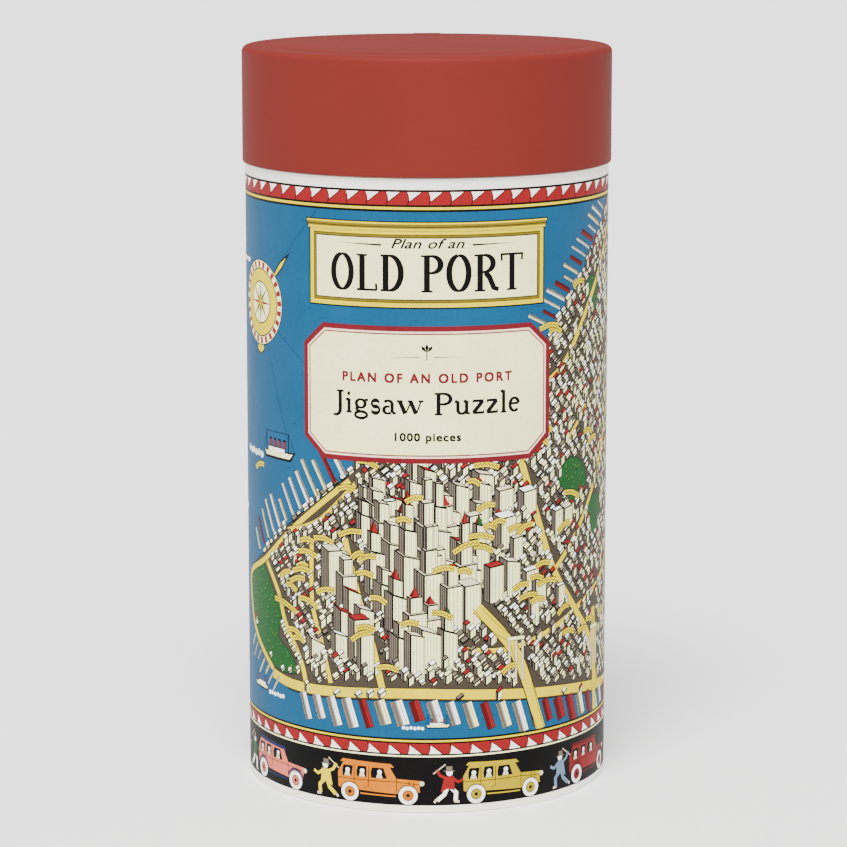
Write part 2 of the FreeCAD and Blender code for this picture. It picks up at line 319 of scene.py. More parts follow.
def letter_strokes():
    """Every letter of the two drawn hands: its width and its (points, thick, thin) pen lines.

    Heights are shares of a capital's height.
    """
    def stem(u, foot=0.0, top=1.0, width=0.13):
        return [(u, top), (u, foot)], width, width

    def serif(u, v, half=0.1):
        return [(u - half, v), (u + half, v)], 0.04, 0.035

    capital_bowl = [(0.13, 0.98)] + bow(0.24, 0.745, 0.2, 0.235, 90, -90) + [(0.13, 0.51)]
    tall = {
        "L": (0.52, [stem(0.15), serif(0.15, 0.98, 0.12), ([(0.03, 0.02), (0.47, 0.02)], 0.04, 0.04),
                     ([(0.46, 0.2), (0.47, 0.0)], 0.05, 0.05)]),
        "T": (0.56, [stem(0.28), serif(0.28, 0.0, 0.12), ([(0.02, 0.98), (0.54, 0.98)], 0.04, 0.04),
                     ([(0.03, 1.0), (0.04, 0.8)], 0.05, 0.05), ([(0.53, 1.0), (0.52, 0.8)], 0.05, 0.05)]),
        "P": (0.54, [stem(0.15), serif(0.15, 0.0, 0.12), serif(0.1, 0.98, 0.08), (capital_bowl, 0.13, 0.04)]),
        "R": (0.6, [stem(0.15), serif(0.15, 0.0, 0.12), serif(0.1, 0.98, 0.08), (capital_bowl, 0.13, 0.04),
                    ([(0.27, 0.5), (0.36, 0.36), (0.46, 0.06), (0.57, 0.01)], 0.13, 0.06)]),
        "D": (0.58, [stem(0.15), ([(0.04, 0.98)] + bow(0.24, 0.5, 0.24, 0.48, 90, -90) + [(0.04, 0.02)],
                                  0.13, 0.04)]),
        "O": (0.6, [(bow(0.29, 0.5, 0.21, 0.49, 95, 455, 28), 0.13, 0.035)]),
        " ": (0.3, []),
    }
    bowl = 0.09
    book = {
        "J": (0.42, [([(0.27, 1.0), (0.27, 0.1)] + bow(0.1, 0.08, 0.17, 0.26, 0, -115), 0.1, 0.04),
                     serif(0.27, 0.98, 0.13)]),
        "P": (0.62, [stem(0.16, width=0.1), serif(0.16, 0.0, 0.12), serif(0.12, 0.98, 0.09),
                     ([(0.16, 0.98)] + bow(0.32, 0.73, 0.22, 0.25, 90, -90) + [(0.16, 0.48)], 0.1, 0.04)]),
        "i": (0.31, [stem(0.16, 0.0, 0.64, bowl), serif(0.16, 0.0),
                     ([(0.05, 0.57), (0.16, 0.63)], 0.05, 0.05),
                     (bow(0.155, 0.88, 0.028, 0.028, 0, 360, 8), 0.055, 0.055)]),
        "l": (0.31, [stem(0.16, 0.0, 1.04, bowl), serif(0.16, 0.0),
                     ([(0.05, 0.97), (0.16, 1.03)], 0.05, 0.05)]),
        "g": (0.54, [(bow(0.25, 0.43, 0.15, 0.2, 90, 450, 20), bowl, 0.035),
                     ([(0.36, 0.56), (0.43, 0.62), (0.5, 0.6)], 0.05, 0.05),
                     ([(0.16, 0.25), (0.1, 0.17), (0.13, 0.09), (0.24, 0.06)], bowl, 0.05),
                     (bow(0.26, -0.11, 0.2, 0.16, 90, 450, 20), 0.07, 0.05)]),
        "s": (0.4, [(bow(0.2, 0.47, 0.12, 0.155, 25, 250, 12) + bow(0.2, 0.17, 0.13, 0.16, 70, -155, 12),
                     0.06, 0.075), ([(0.315, 0.62), (0.315, 0.46)], 0.03, 0.03),
                    ([(0.075, 0.2), (0.075, 0.02)], 0.03, 0.03)]),
        "a": (0.48, [(bow(0.21, 0.46, 0.13, 0.165, 150, 0, 10) + [(0.34, 0.12), (0.39, 0.03), (0.46, 0.06)],
                      bowl, 0.04), (bow(0.2, 0.18, 0.13, 0.17, 60, 320, 14), bowl, 0.035)]),
        "w": (0.86, [([(0.1, 0.62), (0.27, 0.02)], 0.1, 0.1), ([(0.44, 0.62), (0.61, 0.02)], 0.1, 0.1),
                     ([(0.29, 0.04), (0.43, 0.5)], 0.04, 0.04), ([(0.63, 0.04), (0.77, 0.6)], 0.04, 0.04),
                     serif(0.1, 0.62), serif(0.43, 0.62, 0.08), serif(0.77, 0.62, 0.08)]),
        "u": (0.58, [([(0.15, 0.62), (0.15, 0.22)] + bow(0.28, 0.19, 0.13, 0.18, 180, 300, 8)
                      + [(0.43, 0.14)], bowl, 0.04), stem(0.43, 0.0, 0.63, bowl), serif(0.48, 0.02, 0.07),
                     ([(0.05, 0.58), (0.15, 0.62)], 0.05, 0.05), ([(0.33, 0.58), (0.43, 0.62)], 0.05, 0.05)]),
        "z": (0.46, [([(0.05, 0.6), (0.4, 0.6)], 0.045, 0.045), ([(0.38, 0.59), (0.07, 0.04)], 0.09, 0.09),
                     ([(0.05, 0.03), (0.42, 0.03)], 0.045, 0.045), ([(0.06, 0.62), (0.06, 0.48)], 0.03, 0.03),
                     ([(0.41, 0.16), (0.41, 0.01)], 0.03, 0.03)]),
        "e": (0.47, [([(0.09, 0.37), (0.38, 0.37)], 0.04, 0.04),
                     (bow(0.23, 0.32, 0.155, 0.31, 10, 318, 20), bowl, 0.04)]),
        " ": (0.3, []),
    }
    return tall, book


def drawn_words(sheet, words, hand, centre, foot, height, stretch, weights):
    """Draw words with pen lines, centred on u = centre and standing on v = foot."""
    width = sum(hand[letter][0] for letter in words)
    reach = centre - width / 2 * height * stretch
    for letter in words:
        advance, strokes = hand[letter]
        for points, thick, thin in strokes:
            placed = [(reach + u * height * stretch, foot + v * height) for u, v in points]
            sheet.pen("black", placed, thick * height * weights[0], thin * height * weights[1])
        reach += advance * height * stretch


def set_words(sheet, words, centre, foot, height, ink, spacing=1.0, weight=0.0, shear=0.0, length=None):
    """Set words in the plain sans, centred on u = centre, as tall as height at a capital.

    A weight above 0 thickens the strokes with copies moved that far out to the four corners.
    """
    capital_share = 0.73
    curve = bpy.data.curves.new("words", "FONT")
    curve.body = words
    curve.size = height / capital_share
    curve.space_character = spacing
    curve.shear = shear
    curve.align_x = "CENTER"
    curve.resolution_u = 4
    holder = bpy.data.objects.new("words", curve)
    mesh = bpy.data.meshes.new_from_object(holder)
    squeeze = 1.0
    if length:
        reach = [corner.co.x for corner in mesh.vertices]
        squeeze = length / (max(reach) - min(reach))
    mesh.calc_loop_triangles()
    for copy, shift in enumerate(ring_points(0, 0, weight, 4 if weight else 1, math.pi / 4)):
        for trio in mesh.loop_triangles:
            corners = [mesh.vertices[number].co for number in trio.vertices]
            points = [(centre + corner.x * squeeze + shift[0], foot + corner.y + shift[1])
                      for corner in corners]
            if abs(signed_area(points)) > 1e-5:
                lay(sheet, ink, sheet.level + copy / 4, facing(points))
    bpy.data.meshes.remove(mesh)
    bpy.data.objects.remove(holder)
    bpy.data.curves.remove(curve)


# ---------------------------------------------------------------- the map

LAND = [(-48, 39), (-61, 42), (-77, 51), (-86, 63), (-89, 76), (-74, 86), (-53, 102), (-32, 118), (-8, 138),
        (20, 153), (48, 170), (66, 191), (88, 211), (90, 220), (152, 220), (160, 196), (151, 168), (158, 136),
        (149, 104), (154, 72), (143, 44), (118, 33), (92, 32), (55, 37), (0, 41)]
FAR_LAND = [(188, 220), (184, 178), (193, 150), (186, 118), (196, 92), (188, 60), (200, 38), (226, 34),
            (252, 46), (262, 70), (254, 96), (264, 124), (250, 150), (238, 172), (240, 198), (228, 220)]
ISLETS = [
    [(-131, 150), (-124, 156), (-114, 155), (-108, 148), (-112, 141), (-122, 138), (-130, 142)],
    [(-128, 84), (-120, 90), (-111, 86), (-112, 76), (-121, 72), (-129, 76)],
    [(-126, 206), (-116, 210), (-108, 203), (-116, 197), (-127, 199)],
    [(-102, 66), (-97, 69), (-94, 64), (-99, 60)],
    [(172, 92), (177, 106), (176, 120), (170, 112), (167, 96)],
    [(-112, 44), (-102, 47), (-98, 41), (-106, 37), (-114, 39)],
]
PARKS = [
    [(-87, 77), (-86, 66), (-78, 54), (-64, 46), (-52, 46), (-55, 53), (-62, 58), (-60, 68), (-67, 76),
     (-72, 82), (-80, 82)],
    [(52, 118), (58, 124), (66, 121), (69, 112), (62, 106), (54, 110)],
    [(70, 104), (78, 108), (84, 100), (78, 92), (71, 95)],
    [(68, 184), (74, 188), (79, 180), (73, 174)],
    [(118, 150), (128, 158), (138, 150), (136, 136), (124, 132)],
    [(104, 84), (112, 90), (120, 82), (112, 74)],
    [(208, 132), (220, 142), (232, 134), (228, 118), (212, 118)],
    [(216, 70), (226, 78), (236, 70), (228, 60)],
]
SHORE_ROAD = [(-28, 119), (-52, 100), (-71, 85), (-87, 77), (-87.5, 68), (-82, 57), (-66, 45)]
ROADS = [
    ([(-66, 43.5), (-48, 41.5), (0, 43.5), (54, 39.5), (92, 35), (118, 36), (140, 46)], 3.6),
    ([(-70, 84), (-62, 74), (-58, 64), (-50, 52), (-47, 43)], 2.0),
    ([(-30, 98), (-25, 78), (-20, 62), (-16, 45)], 2.4),
    ([(-44, 96), (-44, 74), (-40, 60), (-36, 45)], 1.8),
    ([(-56, 98), (-40, 104), (-22, 122)], 1.8),
    ([(34, 128), (42, 104), (50, 84), (62, 68), (72, 56), (80, 38)], 2.6),
    ([(50, 84), (66, 100), (84, 124), (96, 150), (100, 212)], 1.8),
    ([(62, 68), (88, 78), (110, 96), (134, 104), (150, 110)], 2.2),
    ([(84, 124), (104, 126), (124, 118), (148, 132)], 1.6),
    ([(96, 150), (116, 166), (136, 172), (154, 190)], 1.6),
    ([(72, 56), (100, 60), (124, 62), (148, 78)], 1.6),
    ([(40, 150), (54, 158), (70, 178), (92, 204)], 2.0),
    ([(56, 130), (72, 144), (92, 158), (112, 190), (116, 214)], 1.4),
    ([(8, 60), (28, 58), (46, 62), (62, 68)], 1.8),
    ([(190, 60), (212, 84), (230, 104), (252, 112)], 1.5),
    ([(190, 150), (210, 158), (226, 176), (232, 214)], 1.4),
    ([(204, 40), (210, 60), (206, 96), (212, 118), (206, 150)], 1.3),
]
BRIDGES = [
    ([(18, 74), (33, 56), (44, 27)], 4.0, (33, 52), 9.0),
    ([(76, 66), (77, 52), (78, 27)], 3.4, (77, 50), 8.0),
    ([(146, 106), (168, 100), (192, 104)], 3.0, (168, 98), 9.0),
    ([(146, 182), (168, 178), (192, 180)], 3.0, (168, 176), 9.0),
]
COASTS = [
    ([(-28, 122), (-56, 101.5), (-78, 86)], (-0.5, 0.87), 13, 13.0, 2.3),
    ([(46, 171), (66, 194), (86, 212)], (-0.9, 0.43), 15, 9.5, 1.9),
    ([(-52, 39.8), (0, 41), (56, 37), (118, 32)], (0.3, -0.954), 27, 10.6, 4.4),
    ([(-84, 56), (-72, 47), (-60, 42)], (-0.62, -0.78), 7, 7.5, 1.6),
    ([(157, 132), (150, 104), (154, 74)], (0.97, -0.22), 13, 8.5, 2.4),
    ([(187, 62), (195, 92), (187, 118)], (-0.97, -0.2), 12, 8.0, 2.4),
    ([(206, 37), (226, 33), (248, 44)], (0.2, -0.98), 9, 8.0, 2.8),
]
COURSES = [
    ((-74, 178), [(-74, 215), (-110, 26), (-20, 140), (-40, 215), (-52, 120)]),
    ((-136, 116), [(-160, 215), (-170, 40), (-90, 90), (-100, 215), (-128, 26), (-156, 150)]),
]
SHIPS = [(-62, 123, 19, 4, 1), (-76, 36, 12, 2, -1), (4, 31, 9, 2, 1), (-118, 100, 17, 3, -1),
         (-146, 176, 15, 2, 1), (172, 140, 10, 2, 1), (170, 60, 11, 2, -1), (-140, 62, 20, 4, 1),
         (-104, 192, 13, 2, -1), (173, 206, 10, 2, 1)]
BANNERS = [(-76, 118, 8, 16), (-49, 84, 9, 6), (-58, 70, 13, -14), (-38, 78, 8, 10), (-28, 100, 9, 12),
           (-22, 66, 7, 0), (-14, 52, 8, -4), (6, 88, 8, 6), (14, 96, 10, 20), (-53, 61, 7, -12),
           (35, 80, 7, 14), (47, 172, 9, 4), (63, 186, 7, 10), (58, 60, 7, -4), (74, 128, 7, 14),
           (96, 176, 9, 8), (120, 108, 9, -8), (214, 100, 10, 6), (222, 158, 9, 10), (-118, 133, 10, 4)]
ROOFS = ("white",) * 7 + ("cream",) * 3 + ("light",) * 2 + ("grey",) * 3 + ("red",) * 3


def block(sheet, foot, right, left, height, roof, line=0.27, stripes=False):
    """A building seen from above its nearest corner: two walls and a roof, with black lines between."""
    up = (0.0, height)
    east, west, back = moved(foot, right), moved(foot, left), moved(foot, right, left)
    outline = [west, foot, east, moved(east, up), moved(back, up), moved(west, up)]
    lit = [foot, east, moved(east, up), moved(foot, up)]
    shaded = [west, foot, moved(foot, up), moved(west, up)]
    top = [moved(foot, up), moved(east, up), moved(back, up), moved(west, up)]
    parts = [("black", 0, outline), ("cream", 1, inset(lit, line)), ("grey", 1, inset(shaded, line))]
    parts.append((roof, 1, inset(top, line)))
    for a, b, ink, width, gap in ((foot, east, "dark", 0.17, 1.15), (west, foot, "black", 0.24, 0.62)):
        count = int(abs(b[0] - a[0]) / gap) if stripes else 0
        for number in range(count):
            place = between(a, b, (number + 0.6) / (count + 0.2))
            bar = rectangle(place[0], place[1] + 0.4, place[0] + width, place[1] + height - 0.5)
            parts.append((ink, 2, bar))
    sheet.draw(parts, [outline])


def spire(sheet, foot, right, left, height, ink="red"):
    """A pointed roof over a building's top."""
    peak = moved(between(moved(foot, right), moved(foot, left), 0.5), (0, height))
    east, west = moved(foot, right), moved(foot, left)
    parts = [("black", 0, [west, foot, east, peak]), (ink, 1, inset([foot, east, peak], 0.1)),
             ("dark_red", 1, inset([west, foot, peak], 0.1))]
    sheet.draw(parts, [[west, foot, east, peak]])


STAGE_HEIGHTS = (17, 27)


def tower(sheet, foot, width, height, chance):
    """A tall building of one to three stages, the upper ones drawn first because they stand in front."""
    stages = 1 + sum(height > least for least in STAGE_HEIGHTS)
    depth = width * chance.uniform(0.4, 0.75)
    slope = chance.choice((-16, -10, 9))
    right, left = turned(width, slope), turned(depth, 146)
    roof = chance.choice(("white", "light", "light", "red"))
    tiers = []
    base = foot
    tall = height * (0.62 if stages > 1 else 1.0)
    for _ in range(stages):
        tiers.append((base, right, left, tall))
        lift = moved(base, (0, tall))
        base = moved(lift, (right[0] * 0.16, right[1] * 0.16), (left[0] * 0.2, left[1] * 0.2))
        right, left = (right[0] * 0.66, right[1] * 0.66), (left[0] * 0.62, left[1] * 0.62)
        tall = height * 0.26
    if stages > 1 and chance.random() < 0.4:
        spire(sheet, base, right, left, height * 0.16, chance.choice(("red", "green", "red")))
    for number, (base, right, left, tall) in enumerate(tiers[::-1]):
        block(sheet, base, right, left, tall, roof if number == 0 else "light", stripes=True)


def banner(sheet, u, v, length, angle):
    """A small ribbon with a wavy pen line on it in place of a name."""
    along, width = turned(length / 2, angle), 1.9
    ends = [(u - along[0], v - along[1]), (u, v + 0.9), (u + along[0], v + along[1])]
    spine = smooth(ends, steps=7)
    wave = [moved(spine[share], (0, 0.42 * (-1) ** share)) for share in range(1, len(spine) - 1)]
    writing = [("black", 2, quad) for quad in stroke(wave, 0.34)]
    edge = stroke(spine, width + 0.45)
    body = stroke(spine, width - 0.1)
    parts = [("black", 0, quad) for quad in edge] + [("yellow", 1, quad) for quad in body] + writing
    sheet.draw(parts, edge)


def pier(sheet, foot, along, length, width, ink):
    """A long shed standing out from the shore, with a ridge along its roof."""
    across = (-along[1] * width / 2, along[0] * width / 2)
    reach = (along[0] * length, along[1] * length)
    back = (-across[0], -across[1])
    near, far = moved(foot, back), moved(foot, reach, back)
    corners = facing([near, far, moved(foot, reach, across), moved(foot, across)])
    side = facing([near, far, moved(foot, reach), foot])
    parts = [("black", 0, corners), (ink, 1, inset(corners, 0.17)),
             ("dark_red" if ink == "red" else "grey", 2, inset(side, 0.2))]
    for share, line in ((0.0, 0.2), (0.5, 0.12), (-0.5, 0.12)):
        start = moved(foot, (across[0] * share, across[1] * share))
        parts += [("black", 3, quad) for quad in stroke([start, moved(start, reach)], line)]
    sheet.draw(parts, [corners])


def ship(sheet, u, v, length, funnels, way=1):
    """A steamer with masts, funnels and a trail of smoke; way is the side that its bow points to."""
    def at(along, height):
        return u + way * along * length, v + height * length

    def fill(ink, lift, *points):
        return ink, lift, facing(list(points))

    hull = fill("black", 0, at(-0.5, 0.12), at(-0.44, -0.02), at(0.4, -0.02), at(0.54, 0.17), at(0.3, 0.16))
    deck = fill("cream", 1, at(-0.46, 0.11), at(-0.41, 0.03), at(0.37, 0.03), at(0.46, 0.13), at(0.28, 0.13))
    house = fill("black", 0, at(-0.34, 0.1), at(0.24, 0.1), at(0.24, 0.22), at(-0.34, 0.22))
    cabin = fill("white", 1, at(-0.32, 0.12), at(0.22, 0.12), at(0.22, 0.2), at(-0.32, 0.2))
    parts = [hull, deck, house, cabin]
    for number in range(funnels):
        place = -0.26 + number * 0.46 / max(1, funnels - 1)
        parts.append(fill("black", 2, at(place, 0.2), at(place + 0.08, 0.2), at(place + 0.06, 0.38),
                          at(place - 0.02, 0.38)))
        parts.append(fill("red", 3, at(place + 0.01, 0.22), at(place + 0.07, 0.22), at(place + 0.05, 0.34),
                          at(place - 0.01, 0.34)))
    for place in (-0.4, 0.34):
        parts += [("black", 2, quad) for quad in stroke([at(place, 0.1), at(place, 0.5)], 0.022 * length)]
    rigging = stroke([at(-0.5, 0.14), at(-0.4, 0.5), at(0.34, 0.5), at(0.52, 0.17)], 0.012 * length)
    parts += [("black", 2, quad) for quad in rigging]
    for number in range(6):
        puff = ring_points(*at(-0.62 - 0.15 * number, -0.02 + 0.02 * (number % 2)), length * 0.07, 9)
        parts.append(("white", number % 3, puff))
    sheet.draw(parts, [hull[2], house[2]])


def compass(sheet, u, v, radius):
    """A compass rose: a ringed star with a pointer and no letters."""
    def disc(ink, lift, share):
        return ink, lift, ring_points(u, v, radius * share, 36)

    def at(share, angle):
        return u + radius * share * math.cos(angle), v + radius * share * math.sin(angle)

    pointer = [(u, v), (u + 0.9 * radius, v + 1.02 * radius), (u + 1.28 * radius, v + 1.28 * radius),
               (u + 1.02 * radius, v + 0.9 * radius)]
    tail = [(u, v), (u - 0.2 * radius, v - 1.12 * radius), (u + 0.02 * radius, v - 1.22 * radius),
            (u + 0.22 * radius, v - 1.1 * radius)]
    parts = [disc("black", 0, 1.0), disc("cream", 1, 0.975), disc("black", 2, 0.8), disc("yellow", 3, 0.77),
             disc("black", 4, 0.5), disc("cream", 5, 0.47)]
    sectors = 24
    for number in range(sectors):
        start, end = math.tau * number / sectors, math.tau * (number + 0.5) / sectors
        parts.append(("red", 2, [at(0.81, start), at(0.96, start), at(0.96, end), at(0.81, end)]))
    for number in range(16):
        angle = math.tau * number / 16
        reach = 0.56 if number % 2 == 0 else 0.36
        ink = ("red", "green", "blue", "dark_red")[number // 2 % 4] if number % 2 == 0 else "yellow"
        parts.append((ink, 6, [(u, v), at(0.16, angle - 0.2), at(reach, angle), at(0.16, angle + 0.2)]))
    sheet.draw(parts, [ring_points(u, v, radius, 36)])
    for shape in (pointer, tail):
        sheet.plate(facing(shape), "yellow", radius * 0.035)


def draw_bridge(sheet, deck, width, pylon, height):
    """A bridge with a two-legged pylon, its deck and the cables that fall from the pylon to the deck."""
    u, v = pylon
    half = width / 2 + 0.7
    for side in (-1, 0, 1):
        leg = rectangle(u + side * half - 0.55, v - 6, u + side * half + 0.55, v + height)
        sheet.plate(leg, "light", 0.14)
    head = rectangle(u - half - 0.9, v + height, u + half + 0.9, v + height + 1.5)
    sheet.plate(head, "cream", 0.16)
    for end in (deck[0], deck[-1]):
        for side in (-1, 1):
            top = (u + side * half, v + height)
            foot = (end[0] + side * half * 0.6, end[1])
            sag = [between(top, foot, share / 6) for share in range(7)]
            cable = [(p[0], p[1] - 2.0 * math.sin(math.pi * number / 6)) for number, p in enumerate(sag)]
            sheet.pen("black", cable, 0.2)
    sheet.road(smooth(deck), width, edge=0.3)


def draw_park(sheet, outline, chance):
    """A green with clumps of trees."""
    us, vs = [p[0] for p in outline], [p[1] for p in outline]
    count = int((max(us) - min(us)) * (max(vs) - min(vs)) / 6)
    for _ in range(count):
        p = (chance.uniform(min(us), max(us)), chance.uniform(min(vs), max(vs)))
        if inside(outline, p) and distance_to_line(outline + outline[:1], p) > 1.0:
            size = chance.uniform(0.45, 0.8)
            crown = ring_points(*p, size, 7, chance.uniform(0, 1))
            parts = [("black", 0, crown), ("leaf", 1, ring_points(p[0] - 0.08, p[1] + 0.1, size * 0.72, 7))]
            sheet.draw(parts, [crown])
    sheet.fill("green", outline, edge=0.3)


def map_things(chance):
    """Everything that stands on land, as (v of its foot, draw) pairs."""
    spines = [smooth(points) for points, _ in ROADS] + [smooth(SHORE_ROAD)]
    clear = [width / 2 + 0.3 for _, width in ROADS] + [1.3]
    decks = [deck for deck, *_ in BRIDGES]

    def free(p, margin=0.0):
        if any(inside(park, p) for park in PARKS):
            return False
        if any(distance_to_line(spine, p) < gap + margin for spine, gap in zip(spines, clear)):
            return False
        return all(distance_to_line(deck, p) > 3.0 for deck in decks)

    things = []
    for row in range(13):
        v = 47.5 + row * 5.8
        for column in range(15):
            u = -64 + column * 8.2 + 4.1 * (row % 2)
            p = moved((u, v), (chance.uniform(-1.8, 1.8), chance.uniform(-1.6, 1.6)))
            centre_pull = max(0.0, 1 - math.hypot((p[0] + 4) / 46, (p[1] - 74) / 44))
            if not inside(LAND, p) or not free(p, 3.0) or chance.random() > 0.28 + 1.3 * centre_pull:
                continue
            height = chance.uniform(5, 11) + 34 * centre_pull * chance.uniform(0.35, 1.0)
            width = chance.uniform(3.6, 6.4) + 2.2 * centre_pull
            things.append((p[1], lambda sheet, p=p, width=width, height=height:
                           tower(sheet, p, width, height, chance)))
    for land, tilt in ((LAND, 38), (FAR_LAND, 24)):
        us, vs = [p[0] for p in land], [p[1] for p in land]
        middle = ((min(us) + max(us)) / 2, (min(vs) + max(vs)) / 2)
        reach = int(max(max(us) - min(us), max(vs) - min(vs)))
        for i in range(-reach // 3, reach // 3):
            for j in range(-reach // 2, reach // 2):
                p = moved(middle, turned(i * 3.5 + chance.uniform(-0.3, 0.3), tilt),
                          turned(j * 2.5 + chance.uniform(-0.2, 0.2), tilt - 88))
                if not inside(land, p) or not free(p) or not 28 < p[1] < 214.0:
                    continue
                roof = chance.choice(ROOFS)
                right = turned(chance.uniform(1.9, 3.0), tilt)
                left = turned(chance.uniform(1.2, 1.9), tilt + 95)
                height = chance.choice((0.6, 0.9, 1.3, 1.8, 3.2))
                things.append((p[1], lambda sheet, p=p, right=right, left=left, height=height, roof=roof:
                               block(sheet, p, right, left, height, roof, 0.24, height > 3)))
    return sorted(things, key=lambda thing: thing[0])


def draw_map(sheet):
    """The harbour city and the waters round it, from the nearest thing to the farthest."""
    chance = random.Random(7)
    for u, v, length, angle in BANNERS:
        banner(sheet, u, v, length, angle)
    for _ in range(150):
        p = (chance.uniform(-64, 150), chance.uniform(48, 205))
        if inside(LAND, p) and (p[0] < 60 or chance.random() < 0.4):
            banner(sheet, *p, chance.uniform(4.5, 9.5), chance.choice((-16, -6, 4, 14, 24)))
    for afloat in SHIPS:
        ship(sheet, *afloat)
    for (centre, _), radius in zip(COURSES, (15.5, 12.0)):
        compass(sheet, *centre, radius)
    for deck, width, pylon, height in BRIDGES:
        draw_bridge(sheet, deck, width, pylon, height)
    for coast, along, count, length, width in COASTS:
        for number in range(count):
            spot = along_line(coast, (number + 0.5) / count)
            ink = chance.choice(("white", "red", "white", "cream"))
            reach = length * chance.uniform(0.65, 1.15)
            pier(sheet, spot, along, reach, width * chance.uniform(0.7, 1.1), ink)
    for _, draw in map_things(chance):
        draw(sheet)
    for points, width in ROADS + [(SHORE_ROAD, 2.0)]:
        sheet.road(smooth(points), width)
    for park in PARKS:
        draw_park(sheet, smooth(park, closed=True), chance)
    for islet in ISLETS:
        sheet.pen("yellow", inset(smooth(islet, closed=True)[::-1], 1.0) or islet, 0.7, closed=True)
        draw_park(sheet, smooth(islet, closed=True), chance)
    for land in (LAND, FAR_LAND):
        sheet.fill("stone", smooth(land, closed=True), edge=0.35)
    for centre, ends in COURSES:
        for end in ends:
            sheet.pen("ink_blue", [between(centre, end, share / 12) for share in range(13)], 0.22)
    draw_wavelets(sheet, chance)


def draw_wavelets(sheet, chance):
    """Short curled pen lines scattered over the open water."""
    for _ in range(260):
        u, v = chance.uniform(-GIRTH / 2, GIRTH / 2), chance.uniform(29, 212)
        width = chance.uniform(0.8, 1.6)
        crest = [(u - width, v), (u - width / 2, v + 0.35), (u, v), (u + width / 2, v + 0.35), (u + width, v)]
        sheet.pen("ink_blue", smooth(crest, steps=2), 0.16)


def along_line(points, share):
    """The point that lies that share of the way along a line."""
    lengths = [math.dist(a, b) for a, b in zip(points, points[1:])]
    rest = share * sum(lengths)
    for (a, b), length in zip(zip(points, points[1:]), lengths):
        if rest <= length:
            return between(a, b, rest / length)
        rest -= length
    return points[-1]


# ---------------------------------------------------------------- bands, frieze and panels


def rectangle(left, low, right, high):
    """The corners of an upright rectangle."""
    return [(left, low), (right, low), (right, high), (left, high)]


def lay(sheet, ink, level, points):
    """Lay a convex shape straight on a sheet at a level of its own."""
    sheet.shapes[ink].append((level, points))


def lay_line(sheet, ink, level, points, width):
    """Lay a line straight on a sheet at a level of its own."""
    for quad in stroke(points, width):
        lay(sheet, ink, level, quad)


def draw_bands(sheet):
    """The sea and the coloured lines that ring the tube above and below it."""
    bands = [
        ("blue", SEA_FOOT, SEA_TOP), ("black", 26.5, SEA_FOOT), ("yellow", 25.8, 26.5), ("black", 25.2, 25.8),
        ("red", 21.5, 25.2), ("black", 20.9, 21.5), ("cream", FRIEZE_TOP, 20.9),
        ("black", PRINT_FOOT, FRIEZE_TOP), ("black", SEA_TOP, 215.3), ("yellow", 215.3, 216.2),
        ("black", 216.2, 216.9), ("red", 216.9, 221.5), ("black", 221.5, PRINT_TOP),
    ]
    for ink, low, high in bands:
        lay(sheet, ink, 0, rectangle(-GIRTH / 2, low, GIRTH / 2, high))
    count = 56
    pitch = GIRTH / count
    for number in range(count):
        start = -GIRTH / 2 + number * pitch
        for root, tip, rise in ((221.4, 216.9, -1), (21.5, 25.3, 1)):
            tooth = [(start + 0.07 * pitch, root), (start + 0.72 * pitch, root),
                     (start + 0.2 * pitch, root + rise * 3.1)]
            lay(sheet, "white", 1, facing(tooth))
            middle = root + (tip - root) * 0.45
            upright = [(start + 0.07 * pitch, root), (start + 0.16 * pitch, middle),
                       (start + 0.1 * pitch, tip)]
            slope = [(start + 0.76 * pitch, root), (start + 0.2 * pitch, root + rise * 3.2)]
            for line in (upright, slope):
                lay_line(sheet, "black", 2, smooth(line), 0.3)


